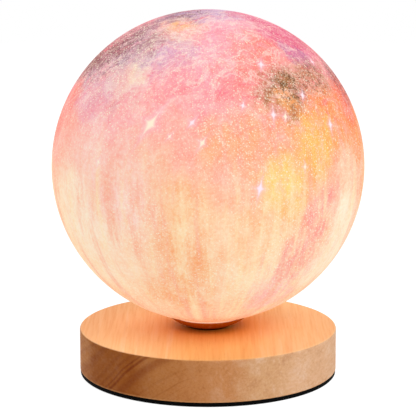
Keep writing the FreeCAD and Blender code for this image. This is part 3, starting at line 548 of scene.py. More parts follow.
@dataclass
class PrintLayers:
    """The globe's print while it is laid down, layer over layer, on a ball of radius 1.

    A place on the ball is the direction of a point from the globe's centre.
    """

    graph: Graph
    centre: Place = (0.0, 0.0, 0.1015)
    slant: Place = (0.34, -0.50, -0.80)
    slant_side: Place = (0.78, 0.35, 0.52)
    star_pinch: float = 0.62
    star_halo: Colour = tone(255, 196, 214)
    layer_pitch: float = 0.0004
    relief_depth: float = 0.00006

    def __post_init__(self) -> None:
        """Find the place on the ball, and its depth and height."""
        self.offset = self.graph.vector("SUBTRACT", self.graph.place, self.centre)
        self.ball = self.graph.vector("NORMALIZE", self.offset)
        _, self.depth, self.height = self.graph.parts(self.ball)

    def paint(self) -> None:
        """Paint the layers, the stars and the fine relief."""
        for layer in (self.sky, self.clouds, self.streaks, self.slants,
                      self.threads, self.mottle, self.specks, self.dust):
            layer()
        for flare in FLARES:
            self.star(flare)
        self.printed_lines()

    def nearness(self, place: Socket, azimuth: float, elevation: float) -> Socket:
        """Give the cosine of the angle from a place to a direction."""
        return self.graph.vector("DOT_PRODUCT", place, tuple(outward(azimuth, elevation)))

    def patch(self, place: Socket, cloud: Cloud, edge: float, core: float) -> Socket:
        """Give how much of a cloud lies at a place.

        Args:
            place: the place on the ball.
            cloud: the cloud.
            edge, core: the shares of its reach where it starts and where it is full.

        Returns:
            The share, from 0 to the cloud's weight.
        """
        start, full = (math.cos(math.radians(cloud.reach * share)) for share in (edge, core))
        nearness = self.nearness(place, cloud.azimuth, cloud.elevation)
        return self.graph.spread(nearness, start, full, 0.0, cloud.weight)

    def sky(self) -> None:
        """Paint the ground colours from the mouth up to the crown."""
        graph = self.graph
        level = graph.maths("MULTIPLY_ADD", self.height, 0.5, 0.28)
        drift = graph.noise(self.ball, 2.2, 5.0, 0.6)
        graph.colour = graph.ramp(graph.maths("MULTIPLY_ADD", drift, 0.44, level), SKY_STOPS)

    def clouds(self) -> None:
        """Lay every soft patch, its edge pulled about and its colour thin in places."""
        graph = self.graph
        tall = graph.stretched(self.ball, (1.0, 1.0, 0.45))
        pushes = graph.vector("ADD", graph.push(tall, 3.4, 0.30), graph.push(tall, 15.0, 0.20))
        spot = graph.vector("NORMALIZE", graph.vector("ADD", self.ball, pushes))
        thin = graph.spread(graph.noise(tall, 12.0, 8.0, 0.74), 0.36, 0.60, 0.40, 1.20)
        for cloud in FRONT_CLOUDS + BACK_CLOUDS:
            share = graph.maths("MULTIPLY", self.patch(spot, cloud, 1.55, 0.30), thin, clamp=True)
            graph.lay(share, cloud.ink.colour())

    def streaks(self) -> None:
        """Draw long streaks that run down to the mouth, and a warm edge round it."""
        graph = self.graph
        flat = graph.vector("NORMALIZE", graph.stretched(self.ball, (1.0, 1.0, 0.001)))
        round_axis = graph.stretched(flat, (8.5, 8.5, 0.0))
        down = graph.vector("ADD", round_axis, graph.stretched(self.ball, (0.6, 0.6, 1.1)))
        streak = graph.noise(down, 1.0, 5.0, 0.66)
        low = graph.spread(self.height, 0.35, -0.15, 0.15, 1.0)
        light = graph.spread(streak, 0.50, 0.68, 0.0, 0.75)
        rosy = graph.spread(streak, 0.49, 0.36, 0.0, 0.52)
        graph.lay(graph.times(light, low), tone(255, 226, 180))
        graph.lay(graph.times(rosy, low), tone(251, 172, 146))
        graph.veil(self.height, -0.86, -0.95, 0.75, tone(250, 158, 100))

    def slants(self) -> None:
        """Draw magenta and pale streaks that slant over the crown."""
        graph = self.graph
        along = graph.vector("DOT_PRODUCT", self.ball, self.slant)
        across = graph.vector("DOT_PRODUCT", self.ball, self.slant_side)
        turned = ((along, 15.0), (across, 4.5), (self.depth, 2.0))
        joined = graph.made("CombineXYZ", *(graph.times(part, size) for part, size in turned))
        comb = graph.noise(joined, 1.0, 6.0, 0.66, swirl=0.9)
        high = graph.spread(self.height, 0.18, 0.62, 0.0, 0.6)
        graph.lay(graph.times(graph.spread(comb, 0.54, 0.70), high), tone(248, 112, 136))
        graph.lay(graph.times(graph.spread(comb, 0.46, 0.30), high), tone(255, 214, 204))

    def threads(self) -> None:
        """Draw thin pale curls below the crown at the front."""
        graph = self.graph
        curl = graph.noise(self.ball, 4.2, 7.0, 0.62, swirl=1.4)
        thread = graph.spread(graph.apart(curl, 0.5), 0.035, 0.004)
        middle = graph.spread(self.nearness(self.ball, 6.0, 58.0), 0.84, 0.96, 0.0, 0.50)
        graph.lay(graph.times(thread, middle), tone(255, 226, 214))

    def mottle(self) -> None:
        """Break the colours up into the fine grain of a print."""
        graph = self.graph
        wide = graph.noise(self.ball, 7.0, 8.0, 0.68, swirl=0.4)
        fine = graph.noise(self.ball, 46.0, 4.0, 0.7)
        graph.lay(0.45, graph.spread(wide, 0.30, 0.70, 0.30, 0.70), "SOFT_LIGHT")
        graph.lay(0.42, graph.spread(fine, 0.34, 0.66, 0.25, 0.75), "SOFT_LIGHT")

    def specks(self) -> None:
        """Pepper the dusky patches with dark specks."""
        graph = self.graph
        distance = graph.cells(graph.vector("ADD", self.ball, (3.0, 1.0, 2.0)), 52.0)[0]
        grain = graph.spread(graph.noise(self.ball, 30.0, 5.0, 0.8), 0.48, 0.60)
        shown = graph.larger(graph.spread(distance, 0.36, 0.12, 0.0, 0.9), grain)
        for cloud in DUSKY_PATCHES:
            graph.lay(graph.times(shown, self.patch(self.ball, cloud, 1.0, 0.4)), cloud.ink.colour())

    def dust(self) -> None:
        """Scatter pale dust everywhere, thickest round a few places."""
        graph = self.graph
        gather = graph.spread(graph.noise(self.ball, 2.6, 3.0, 0.6), 0.38, 0.62, 0.45, 0.90)
        for azimuth, elevation, edge, most in DUST_PLACES:
            nearness = self.nearness(self.ball, azimuth, elevation)
            gather = graph.larger(gather, graph.spread(nearness, edge, 0.97, 0.0, most))
        for scale, half_width, strength in DUST_LAYERS:
            distance, own = graph.cells(graph.vector("ADD", self.ball, (scale, 0.0, 0.0)), scale)
            chosen = graph.spread(graph.parts(own)[0], 0.15, 0.70)
            dot = graph.spread(distance, half_width, half_width * 0.35, 0.0, strength)
            graph.lay(graph.times(graph.times(dot, chosen), gather), CREAM)

    def star(self, flare: Flare) -> None:
        """Draw one four-pointed star with its halo.

        Args:
            flare: the star.
        """
        graph = self.graph
        facing = outward(flare.azimuth, flare.elevation)
        turn, lean = math.radians(flare.azimuth), math.radians(flare.lean)
        east = Vector((math.cos(turn), math.sin(turn), 0.0))
        north = facing.cross(east)
        ray = (north * math.cos(lean) + east * math.sin(lean)) / flare.length
        arm = (east * math.cos(lean) - north * math.sin(lean)) / (flare.length * flare.slim)
        sides = (graph.vector("DOT_PRODUCT", self.ball, tuple(way)) for way in (ray, arm))
        pinched = (graph.maths("POWER", graph.maths("ABSOLUTE", side), self.star_pinch) for side in sides)
        reach = graph.maths("ADD", *pinched)
        near = graph.maths("GREATER_THAN", graph.vector("DOT_PRODUCT", self.ball, tuple(facing)), 0.0)
        graph.lay(graph.times(graph.spread(reach, 1.9, 0.6, 0.0, 0.45), near), self.star_halo)
        graph.lay(graph.times(graph.spread(reach, 1.10, 0.50), near), flare.tint)

    def printed_lines(self) -> None:
        """Raise the fine lines of the printed layers and the grain of the skin."""
        graph = self.graph
        turns = graph.times(graph.parts(self.offset)[2], 2.0 * math.pi / self.layer_pitch)
        grain = graph.noise(self.ball, 60.0, 3.0, 0.6)
        height = graph.maths("MULTIPLY_ADD", graph.maths("SINE", turns), 0.15, grain)
        graph.relief(height, self.relief_depth, 0.5)


@dataclass(frozen=True)
class GlowingPrint(Finish):
    """A cloud and star print on a thin white globe that glows from inside."""

    glow: float = 0.75
    paper: float = 0.30

    def paint(self, graph: Graph) -> None:
        """Paint the print and let it glow.

        Args:
            graph: the graph to add to.
        """
        PrintLayers(graph).paint()
        lit = graph.colour
        graph.colour = graph.mix(self.paper, BLACK, lit)
        graph.surface(emission_color=lit, emission_strength=self.glow,
                      roughness=0.66, specular_ior_level=0.05)


@dataclass(frozen=True)
class TurnedWood(Finish):
    """Oiled wood. Its fibres run from front to back, and its rings go round an axis below the piece."""

    face: Colour
    face_middle: Colour
    side: tuple[tuple[float, Colour], ...]
    ring_lines: tuple[tuple[float, float, float], ...] = ()
    band: Colour = tone(196, 148, 112)
    reach: float = 0.0625
    face_level: float = 0.0219
    face_edge: float = 0.0005
    foot_level: float = 0.0020
    pale_lower_band: tuple[float, float] = (0.0011, 0.0004)
    ring_middle: Place = (0.0046, 0.0, -0.0309)
    # Painted contact shadow under the dish's foot: its radius and width, none when the radius is 0; and the
    # middle of a painted pool of the globe's glow round the dish.
    shade_radius: float = 0.0
    shade_width: float = 0.0022
    glow_pool_middle: Place = (0.003, 0.0, 0.0)
    gloss: float = 0.58

    def paint(self, graph: Graph) -> None:
        """Paint the side, the turned face and the fibres.

        Args:
            graph: the graph to add to.
        """
        wide, _, height = graph.parts(graph.place)
        blotch = graph.drawn((1.0, 0.25, 1.0), 70.0, 5.0, 0.6)
        across = graph.maths("MULTIPLY_ADD", wide, 0.5 / self.reach, 0.5)
        across = graph.maths("ADD", across, graph.maths("MULTIPLY_ADD", blotch, 0.10, -0.05))
        # The side's colour runs from left to right; its darker left is partly the wood's own tone and partly
        # painted shade.
        graph.colour = graph.ramp(across, self.side)
        left_side = graph.spread(across, 0.50, 0.36, 0.10, 1.0)
        self.rings(graph, graph.times(left_side, graph.spread(blotch, 0.30, 0.62, 0.5, 1.0)))
        self.flecks(graph, across)
        # A pale band along the lower edge of the side, just above the foot.
        above, below = (self.foot_level + rise for rise in self.pale_lower_band)
        graph.veil(height, above, below, 0.30, tone(236, 180, 122))
        # Painted light: the turned face is painted oranger than the side, partly the wood's face grain and
        # partly painted glow of the globe's light on it.
        side = graph.colour
        self.turned_face(graph, wide)
        top = graph.spread(height, self.face_level, self.face_level + self.face_edge)
        graph.colour = graph.mix(top, side, graph.colour)
        self.fibres(graph)

    def rings(self, graph: Graph, shown: Socket) -> None:
        """Draw the ring lines that stand out, over faint even rings.

        Args:
            graph: the graph to add to.
            shown: how much of them shows at each place.
        """
        wobble = graph.push(graph.place, 26.0, 0.006, 2.0, 0.5)
        bent = graph.vector("SUBTRACT", graph.vector("ADD", graph.place, wobble), self.ring_middle)
        radius = graph.vector("LENGTH", graph.stretched(bent, (1.0, 0.03, 1.0)))
        faint = graph.add("TexNoise")
        faint.noise_dimensions = "1D"
        graph.fill(faint, w=radius, scale=420.0, detail=3.0)
        shade = graph.spread(faint.outputs["Fac"], 0.50, 0.72, 0.0, 0.35)
        for middle, half_width, strength in self.ring_lines:
            line = graph.spread(graph.apart(radius, middle), half_width, half_width * 0.2, 0.0, strength)
            shade = graph.larger(shade, line)
        graph.lay(graph.times(shade, shown), self.band, "MULTIPLY")

    def flecks(self, graph: Graph, across: Socket) -> None:
        """Cloud the side and fleck it, most on its pale right, where the pale clouds are partly the wood's
        mottling and partly a painted sheen.

        Args:
            graph: the graph to add to.
            across: the share of the way from left to right.
        """
        cloudy = graph.drawn((1.0, 0.3, 0.8), 150.0, 6.0, 0.7)
        # Partly painted sheen: pale clouds laid mostly on the right side, towards the key light.
        pale = graph.spread(cloudy, 0.46, 0.70, 0.0, 0.38)
        graph.lay(graph.times(pale, graph.spread(across, 0.40, 0.80, 0.12, 1.0)), tone(242, 216, 192))
        graph.veil(cloudy, 0.48, 0.32, 0.22, self.band, "MULTIPLY")
        fleck = graph.drawn((1.0, 0.3, 1.0), 900.0, 4.0, 0.75)
        bright = graph.spread(fleck, 0.50, 0.68)
        graph.lay(graph.times(bright, graph.spread(across, 0.42, 0.80, 0.03, 0.26)), tone(240, 214, 188))
        graph.veil(fleck, 0.48, 0.30, 0.24, tone(206, 160, 118), "MULTIPLY")

    def turned_face(self, graph: Graph, wide: Socket) -> None:
        """Paint the even turned face with long soft stripes, deeper orange in the middle; where a shade
        radius is set, add a painted pool of the globe's orange glow round the dish and a painted contact
        shadow where the dish stands on it.

        Args:
            graph: the graph to add to.
            wide: the place along X.
        """
        stripe = graph.drawn((1.0, 0.045, 1.0), 260.0, 5.0, 0.62)
        # Partly painted glow: the face deepens to orange in its middle, under the globe.
        middle = graph.spread(graph.apart(wide, 0.004), 0.035, 0.010)
        graph.colour = graph.mix(middle, self.face, self.face_middle)
        graph.veil(stripe, 0.46, 0.70, 0.24, tone(240, 200, 180), "MULTIPLY")
        graph.veil(stripe, 0.46, 0.28, 0.10, tone(255, 250, 240), "SCREEN")
        if self.shade_radius:
            # Painted light: an orange pool of the globe's glow round the dish, and a dark ring of painted
            # contact shadow under the dish's foot.
            beside = graph.vector("SUBTRACT", graph.place, self.glow_pool_middle)
            warm, near = (graph.vector("LENGTH", graph.stretched(place, (1.0, 1.0, 0.0)))
                          for place in (beside, graph.place))
            graph.veil(warm, 0.030, 0.010, 0.75, tone(250, 166, 44))
            graph.veil(near, self.shade_radius + self.shade_width, self.shade_radius, 0.9, tone(96, 34, 12))

    def fibres(self, graph: Graph) -> None:
        """Finish with fine fibres and pores, and set the gloss and the relief from them.

        Args:
            graph: the graph to add to.
        """
        fibre = graph.drawn((1.0, 0.035, 1.0), 900.0, 4.0, 0.6)
        pore = graph.drawn((1.0, 0.05, 1.0), 2100.0, 2.0, 0.5)
        graph.veil(fibre, 0.42, 0.66, 0.20, tone(230, 190, 158), "MULTIPLY")
        graph.veil(pore, 0.62, 0.76, 0.20, tone(206, 150, 112), "MULTIPLY")
        rough = graph.spread(fibre, 0.35, 0.70, self.gloss - 0.06, self.gloss + 0.12)
        graph.surface(roughness=rough, specular_ior_level=0.08)
        grooves = graph.maths("SUBTRACT", fibre, graph.spread(pore, 0.58, 0.76, 0.0, 0.8))
        graph.relief(grooves, 0.00010, 0.35)


class Grain(Enum):
    """How a plastic moulding's surface was textured in its mould: lumps per metre and their depth."""

    SATIN = (2600.0, 0.000010)
    SPARKED = (1500.0, 0.000045)
    MATT = (3400.0, 0.000020)


@dataclass(frozen=True)
class Moulding(Finish):
    """Moulded plastic with the fine texture of its mould."""

    colour: Colour
    grain: Grain = Grain.SATIN
    gloss: float = 0.42

    def paint(self, graph: Graph) -> None:
        """Paint the colour with faint flow clouds, a fine texture and handling marks in the gloss.

        Args:
            graph: the graph to add to.
        """
        graph.colour = self.colour
        flow = graph.noise(graph.place, 60.0, 4.0, 0.6)
        graph.lay(1.0, graph.spread(flow, 0.3, 0.7, 0.90, 1.0), "MULTIPLY")
        marks = graph.noise(graph.place, 220.0, 5.0, 0.65)
        rough = graph.spread(marks, 0.3, 0.75, self.gloss - 0.06, self.gloss + 0.12)
        graph.surface(roughness=rough, ior=1.49)
        lumps, depth = self.grain.value
        graph.relief(graph.noise(graph.place, lumps, 3.0, 0.6), depth, 0.6)


@dataclass(frozen=True)
class CellFoam(Finish):
    """Soft foam or rubber with a skin of small cells."""

    colour: Colour
    cells_per_metre: float = 1400.0
    worn: float = 0.5

    def paint(self, graph: Graph) -> None:
        """Paint the cells as small dents with dusty tops.

        Args:
            graph: the graph to add to.
        """
        distance, own = graph.cells(graph.place, self.cells_per_metre)
        dusty = graph.noise(graph.place, 140.0, 5.0, 0.7)
        pale = tuple(min(1.0, part * 2.4 + 0.004) for part in self.colour[:3]) + (1.0,)
        graph.colour = self.colour
        graph.veil(dusty, 0.5, 0.8, self.worn, pale)
        graph.veil(own, 0.2, 0.9, 0.15, pale)
        graph.surface(roughness=graph.spread(dusty, 0.3, 0.7, 0.85, 0.95), specular_ior_level=0.06)
        graph.relief(distance, 0.00010, 0.6)


class Plating(Enum):
    """How a metal surface was finished: its stretch along X, Y and Z, lumps per metre and depth."""

    PLATED = ((1.0, 1.0, 1.0), 900.0, 0.000012)
    ROLLED = ((1.0, 0.05, 1.0), 1600.0, 0.000015)
    EXTRUDED = ((1.0, 1.0, 0.04), 1500.0, 0.000020)


@dataclass(frozen=True)
class BareMetal(Finish):
    """Metal with its working marks and a little dulling."""

    colour: Colour
    plating: Plating = Plating.PLATED
    gloss: float = 0.30

    def paint(self, graph: Graph) -> None:
        """Paint the marks in the gloss and the relief, and the dulling in the colour.

        Args:
            graph: the graph to add to.
        """
        sizes, lumps, depth = self.plating.value
        marks = graph.drawn(sizes, lumps, 4.0, 0.6)
        dull = graph.noise(graph.place, 150.0, 5.0, 0.65)
        graph.colour = self.colour
        graph.lay(1.0, graph.spread(dull, 0.35, 0.75, 1.0, 0.74), "MULTIPLY")
        graph.surface(metallic=1.0, roughness=graph.maths("MULTIPLY_ADD", marks, 0.22, self.gloss - 0.08))
        graph.relief(marks, depth, 0.6)


@dataclass(frozen=True)
class CoatedBoard(Finish):
    """A circuit board under solder mask, with faint tracks below it."""

    mask: Colour
    track: Colour
    track_pitch: float = 0.0016

    def paint(self, graph: Graph) -> None:
        """Paint blocky tracks under an even coat with the weave of the glass cloth in it.

        Args:
            graph: the graph to add to.
        """
        brick = graph.fill(graph.add("TexBrick"), vector=graph.place, scale=1.0 / self.track_pitch,
                           mortar_size=0.08, brick_width=3.4, row_height=1.0, mortar_smooth=0.2)
        routed = graph.spread(graph.noise(graph.place, 190.0, 2.0, 0.5), 0.46, 0.54, 0.0, 0.75)
        tracks = graph.times(brick.outputs["Fac"], routed)
        graph.colour = graph.mix(tracks, self.mask, self.track)
        cloth = graph.drawn((1.0, 1.0, 0.2), 1900.0, 2.0, 0.5)
        graph.surface(roughness=graph.spread(cloth, 0.3, 0.7, 0.30, 0.42), ior=1.5)
        graph.relief(graph.maths("MULTIPLY_ADD", tracks, 1.2, cloth), 0.00003, 0.6)


@dataclass(frozen=True)
class LitGel(Finish):
    """The yellow gel of an emitter, or a frosted cover with light behind it."""

    colour: Colour
    glow_colour: Colour
    glow: float
    lumps: float = 1800.0

    def paint(self, graph: Graph) -> None:
        """Paint a fine cloudy body that glows.

        Args:
            graph: the graph to add to.
        """
        cloudy = graph.noise(graph.place, self.lumps, 4.0, 0.6)
        graph.colour = self.colour
        graph.veil(cloudy, 0.35, 0.7, 0.4, self.glow_colour)
        graph.surface(roughness=graph.spread(cloudy, 0.3, 0.7, 0.45, 0.65),
                      emission_color=graph.colour, emission_strength=self.glow)
        graph.relief(cloudy, 0.00002, 0.5)


@dataclass(frozen=True)
class CreasedWrap(Finish):
    """Foil or tape drawn tight round a cell, with soft creases."""

    colour: Colour
    sheen: float
    metallic: float

    def paint(self, graph: Graph) -> None:
        """Paint long creases that catch the light, darker in their hollows as painted shade.

        Args:
            graph: the graph to add to.
        """
        fold = graph.noise(graph.stretched(graph.place, (0.5, 1.0, 2.0)), 170.0, 6.0, 0.6, swirl=1.2)
        graph.colour = self.colour
        # Painted shade: the colour darkens where the creases sink in.
        graph.lay(1.0, graph.spread(fold, 0.3, 0.7, 0.86, 1.0), "MULTIPLY")
        rough = graph.spread(fold, 0.3, 0.7, self.sheen, self.sheen + 0.15)
        graph.surface(metallic=self.metallic, roughness=rough)
        graph.relief(fold, 0.00025, 0.5)


GLOBE_PRINT = GlowingPrint("printed_globe")
WHITE_PLASTIC = Moulding("white_moulding", tone(232, 230, 224), Grain.SATIN, 0.40)
PLUG_PLASTIC = Moulding("plug_moulding", tone(226, 221, 206), Grain.SATIN, 0.45)
BLACK_PLASTIC = Moulding("black_moulding", tone(26, 26, 27), Grain.SPARKED, 0.55)
BUTTON_PLASTIC = Moulding("button_moulding", tone(34, 34, 36), Grain.SATIN, 0.30)
CHIP_PLASTIC = Moulding("chip_moulding", tone(30, 30, 32), Grain.MATT, 0.60)
CHOKE_CORE = Moulding("choke_core", tone(86, 87, 90), Grain.SPARKED, 0.62)
CAPACITOR_BODY = Moulding("capacitor_body", tone(186, 150, 112), Grain.MATT, 0.38)
RED_SHEATH = Moulding("red_sheath", tone(186, 30, 26), Grain.SATIN, 0.38)
BLACK_SHEATH = Moulding("black_sheath", tone(24, 24, 25), Grain.SATIN, 0.38)
FOOT_FOAM = CellFoam("foot_foam", tone(2, 2, 2), 1500.0, 0.03)
SOFT_RING = CellFoam("soft_ring", tone(205, 203, 198), 2400.0, 0.3)
ZINC = BareMetal("zinc_steel", tone(196, 198, 202), Plating.PLATED, 0.30)
INLET_STEEL = BareMetal("inlet_steel", tone(206, 208, 212), Plating.ROLLED, 0.24)
SINK_ALUMINIUM = BareMetal("sink_aluminium", tone(214, 216, 219), Plating.EXTRUDED, 0.34)
WHITE_BOARD = CoatedBoard("white_board", tone(232, 232, 228), tone(214, 214, 208))
GREEN_BOARD = CoatedBoard("green_board", tone(22, 92, 56), tone(38, 122, 74))
EMITTER_GEL = LitGel("emitter_gel", tone(244, 204, 84), tone(255, 226, 120), 1.2)
FROSTED_COVER = LitGel("frosted_cover", tone(240, 236, 226), tone(255, 240, 214), 0.6, 900.0)
CELL_FOIL = CreasedWrap("cell_foil", tone(196, 199, 204), 0.28, 0.85)
WHITE_TAPE = CreasedWrap("white_tape", tone(226, 222, 210), 0.55, 0.0)

# The base's side colours, each with its share of the way from left to right. The side darkens towards the
# left, partly in the wood's own tone and partly as painted shade on the side away from the key light.
BASE_SIDE = (
    (0.01, tone(188, 124, 68)),
    (0.07, tone(162, 92, 32)),
    (0.21, tone(165, 94, 36)),
    (0.31, tone(190, 124, 68)),
    (0.56, tone(203, 140, 88)),
    (0.72, tone(217, 168, 122)),
    (0.86, tone(228, 182, 142)),
)

# The base's ring lines: radius and half width in metres, and strength.
BASE_RINGS = (
    (0.0577, 0.0026, 0.60),
    (0.0616, 0.0008, 0.75),
    (0.0632, 0.0006, 0.60),
    (0.0680, 0.0012, 0.30),
    (0.0745, 0.0020, 0.45),
    (0.0790, 0.0009, 0.50),
)
# The base's face colours, paler at the edge and deeper orange in the middle: partly the wood's own tone,
# partly painted glow of the globe's warm light on the face.
BASE_FACE_WITH_GLOW, BASE_MIDDLE_WITH_GLOW = tone(253, 198, 142), tone(249, 184, 114)
# The dish's colours, darker and deeper orange than the base's wood: partly its own tone, partly painted shade
# under the globe and painted glow of the globe's light.
DISH_SHADED_LEFT, DISH_SHADED_RIGHT = tone(186, 100, 6), tone(180, 96, 4)
DISH_SHADED_SIDE = ((0.2, DISH_SHADED_LEFT), (0.8, DISH_SHADED_RIGHT))
# The base's face gets the painted contact shadow and the painted glow round the dish.
BASE_WOOD = TurnedWood("base_wood", BASE_FACE_WITH_GLOW, BASE_MIDDLE_WITH_GLOW, BASE_SIDE, BASE_RINGS, shade_radius=0.0088)
DISH_WOOD_SHADED = TurnedWood("dish_wood", DISH_SHADED_LEFT, DISH_SHADED_RIGHT, DISH_SHADED_SIDE, gloss=0.52)
# Painted glow: the collar at the globe's mouth gives off light of its own, standing in for the lamp's light
# falling on and through it.
LIT_COLLAR = LitGel("lit_collar", tone(246, 216, 190), tone(255, 186, 132), 0.55)


def coat(material: bpy.types.Material, *names: str) -> None:
    """Give CAD nodes a finish in every slot they have.

    Args:
        material: the finish.
        names: the nodes.
    """
    for name in names:
        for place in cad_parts[name].material_slots:
            place.material = material
        LOG.info("%s is finished in %s", name, material.name)


def clear_selection() -> None:
    """Deselect everything, so that an operator meets only the new piece."""
    bpy.ops.object.select_all(action="DESELECT")


Coats = tuple[tuple[Finish, tuple[str, ...]], ...]


@dataclass
class SubAssembly:
    """A sub-assembly, with the finish that each of its CAD pieces gets."""

    coats: Coats

    def build(self) -> None:
        """Dress the pieces."""
        for finish, names in self.coats:
            coat(finish.material(), *names)


@dataclass
class PrintedGlobe(SubAssembly):
    """The thin globe, open at its mouth, the collar glued in it and the holder below."""

    coats: Coats = ((LIT_COLLAR, ("globe_collar",)), (WHITE_PLASTIC, ("lamp_holder",)))
    radius: float = 0.075
    wall: float = 0.0015
    mouth: float = 0.0163
    centre: float = 0.1015
    lip: float = 0.00025
    lip_steps: int = 3
    lip_angle: float = 50.0
    smooth_angle: float = 40.0
    segments: int = 144
    rings: int = 96

    def build(self) -> None:
        """Model the skin, dress it and hang it on the globe's body, and dress the rest."""
        skin = self.skin()
        skin.data.materials.append(GLOBE_PRINT.material())
        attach(skin, "globe")
        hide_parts("globe_shell")
        super().build()

    def skin(self) -> bpy.types.Object:
        """Cut a ball open at the mouth, give it its wall and round the lip.

        Returns:
            The skin.
        """
        clear_selection()
        bpy.ops.mesh.primitive_uv_sphere_add(segments=self.segments, ring_count=self.rings,
                                             radius=self.radius, location=(0.0, 0.0, self.centre))
        skin = bpy.context.active_object
        skin.name = "globe_skin"
        bpy.ops.object.transform_apply(location=True, rotation=True, scale=True)
        outer_mouth = self.mouth * self.radius / (self.radius - self.wall)
        level = self.centre - math.sqrt(self.radius ** 2 - outer_mouth ** 2)
        bpy.ops.object.mode_set(mode="EDIT")
        bpy.ops.mesh.select_all(action="SELECT")
        bpy.ops.mesh.bisect(plane_co=(0.0, 0.0, level), plane_no=(0.0, 0.0, 1.0), clear_inner=True)
        bpy.ops.mesh.select_all(action="SELECT")
        bpy.ops.mesh.normals_make_consistent(inside=False)
        bpy.ops.object.mode_set(mode="OBJECT")
        wall = skin.modifiers.new("wall", "SOLIDIFY")
        wall.thickness = self.wall
        wall.offset = -1.0
        lip = skin.modifiers.new("lip", "BEVEL")
        lip.width = self.lip
        lip.segments = self.lip_steps
        lip.limit_method = "ANGLE"
        lip.angle_limit = math.radians(self.lip_angle)
        for modifier in ("wall", "lip"):
            bpy.ops.object.modifier_apply(modifier=modifier)
        bpy.ops.object.shade_smooth_by_angle(angle=math.radians(self.smooth_angle))
        return skin


@dataclass
class TurnedBase(SubAssembly):
    """The wooden disc with its dish and black foot, and the stem and screws that hold the lamp together."""

    coats: Coats = (
        (BASE_WOOD, ("wood_base",)),
        (DISH_WOOD_SHADED, ("neck_dish",)),
        (FOOT_FOAM, ("foot_pad",)),
        (ZINC, ("cover_screws", "board_screws", "led_screws", "stem_tube", "stem_washer", "stem_nut")),
    )


@dataclass
class LightEngine(SubAssembly):
    """The light on the holder: soft ring, sink, board, emitters and frosted cover."""

    coats: Coats = (
        (SOFT_RING, ("seat_ring",)),
        (SINK_ALUMINIUM, ("heat_sink",)),
        (WHITE_BOARD, ("led_board",)),
        (EMITTER_GEL, ("led_chips",)),
        (FROSTED_COVER, ("led_diffuser",)),
    )


@dataclass
class RearPanel(SubAssembly):
    """The black insert at the back with its charging inlet and push button, the cover and the chips."""

    coats: Coats = (
        (BLACK_PLASTIC, ("port_panel", "bottom_cover")),
        (BUTTON_PLASTIC, ("power_button", "switch_plunger")),
        (INLET_STEEL, ("usb_socket",)),
        (CHIP_PLASTIC, ("usb_tongue", "switch_body", "charger_chip", "driver_chip")),
    )


@dataclass
class Electronics(SubAssembly):
    """The control board, the cell and the leads in the wooden disc's hollow."""

    coats: Coats = (
        (GREEN_BOARD, ("control_board",)),
        (CHOKE_CORE, ("power_choke",)),
        (CAPACITOR_BODY, ("capacitors",)),
        (PLUG_PLASTIC, ("cell_header", "cell_plug")),
        (CELL_FOIL, ("battery_cell",)),
        (WHITE_TAPE, ("battery_tape",)),
        (RED_SHEATH, ("led_lead_red", "cell_lead_red")),
        (BLACK_SHEATH, ("led_lead_black", "cell_lead_black")),
    )


@dataclass
class SoftLight:
    """One square lamp of the studio, aimed at the lamp's middle."""

    name: str
    place: Place
    side: float
    level: float
    aim: Place = (0.0, 0.0, 0.06)

    def build(self) -> None:
        """Hang the lamp so that its level is the light that it throws on what it is aimed at."""
        data = bpy.data.lights.new(self.name, "AREA")
        data.shape = "SQUARE"
        data.size = self.side
        reach = Vector(self.aim) - Vector(self.place)
        data.energy = self.level * math.pi ** 2 * reach.length_squared
        lamp = bpy.data.objects.new(self.name, data)
        lamp.location = self.place
        lamp.rotation_euler = reach.to_track_quat("-Z", "Y").to_euler()
        bpy.context.scene.collection.objects.link(lamp)


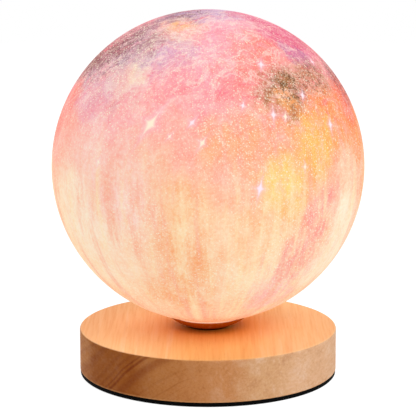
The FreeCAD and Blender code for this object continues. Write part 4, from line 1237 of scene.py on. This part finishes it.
@dataclass
class Studio:
    """Pale floor, white surroundings, soft lamps and the camera."""

    floor_reach: float = 1.4
    floor_sides: int = 96
    floor_drop: float = 0.0002
    floor_grey: float = 0.75
    shadow_grey: float = 0.42
    floor_glow: float = 0.80
    foot_gap: float = 0.002
    sky_level: float = 0.36
    camera_place: Place = (0.0, -0.9265, 0.2687)
    camera_pitch: float = 78.54
    lens: float = 169.4
    sensor: float = 36.0
    clip: tuple[float, float] = (0.01, 50.0)
    lamps: tuple[SoftLight, ...] = (
        SoftLight("key_light", (0.80, -0.70, 0.90), 0.9, 0.62),
        SoftLight("fill_light", (-0.50, -0.90, 0.90), 0.9, 0.10),
        SoftLight("back_light", (-0.75, 0.60, 0.80), 0.7, 0.42),
    )

    def build(self) -> None:
        """Build the studio round the lamp."""
        self.floor()
        self.sky()
        for lamp in self.lamps:
            lamp.build()
        self.camera()
        bpy.context.scene.view_settings.view_transform = "Standard"
        LOG.info("studio with %d lamps", len(self.lamps))

    def seen(self, nodes: Nodes) -> Socket:
        """Tell the rays that show the surroundings straight, in gloss or through glass.

        Args:
            nodes: the node tree to add to.

        Returns:
            1 for these rays and 0 for others.
        """
        rays = nodes.add("LightPath").outputs
        shown = nodes.larger(rays["Is Camera Ray"], rays["Is Glossy Ray"])
        return nodes.larger(shown, rays["Is Transmission Ray"])

    def open_below(self, graph: Graph) -> Socket:
        """Tell where the floor is looked at from below, or lies close under the lamp's foot.

        Args:
            graph: the graph to add to.

        Returns:
            1 there and 0 elsewhere.
        """
        behind = graph.add("NewGeometry").outputs["Backfacing"]
        length = graph.add("LightPath").outputs["Ray Length"]
        return graph.larger(behind, graph.maths("LESS_THAN", length, self.foot_gap))

    def floor(self) -> None:
        """Lay the pale floor, which looks white and keeps the lamp's shadow."""
        clear_selection()
        bpy.ops.mesh.primitive_circle_add(vertices=self.floor_sides, radius=self.floor_reach,
                                          fill_type="NGON", location=(0.0, 0.0, -self.floor_drop))
        ground = bpy.context.active_object
        ground.name = "studio_floor"
        bpy.ops.object.transform_apply(location=True, rotation=True, scale=True)
        graph = Graph("pale_floor")
        graph.tree.nodes.remove(graph.shader)
        greys = ((level, level, level, 1.0) for level in (self.floor_grey, self.shadow_grey))
        plain, shaded = (graph.made("BsdfDiffuse", grey) for grey in greys)
        glow = graph.made("Emission", WHITE, self.floor_glow)
        lit = graph.made("AddShader", shaded, glow)
        choice = graph.made("MixShader", self.seen(graph), plain, lit)
        clear = graph.made("BsdfTransparent")
        graph.fill(graph.output, graph.made("MixShader", self.open_below(graph), choice, clear))
        ground.data.materials.append(graph.material)

    def sky(self) -> None:
        """Make the surroundings white to look at and soft grey as a light."""
        world = bpy.data.worlds.new("studio_sky")
        bpy.context.scene.world = world
        world.use_nodes = True
        nodes = Nodes(world.node_tree)
        level = nodes.fill(nodes.add("MapRange"), value=self.seen(nodes), to_min=self.sky_level)
        nodes.fill(nodes.tree.nodes["Background"], WHITE, level.outputs["Result"])

    def camera(self) -> None:
        """Set the camera in front of the lamp, looking slightly down."""
        data = bpy.data.cameras.new("front_camera")
        data.lens = self.lens
        data.sensor_width = self.sensor
        data.clip_start, data.clip_end = self.clip
        camera = bpy.data.objects.new("front_camera", data)
        camera.location = self.camera_place
        camera.rotation_euler = (math.radians(self.camera_pitch), 0.0, 0.0)
        bpy.context.scene.collection.objects.link(camera)
        bpy.context.scene.camera = camera


def main() -> None:
    """Build the lamp's looks and the studio, and report each piece."""
    logging.basicConfig(level=logging.INFO, format="%(message)s")
    for assembly in (PrintedGlobe(), TurnedBase(), LightEngine(), RearPanel(), Electronics(), Studio()):
        assembly.build()
        LOG.info("%s done", type(assembly).__name__)


if __name__ == "__main__":
    main()
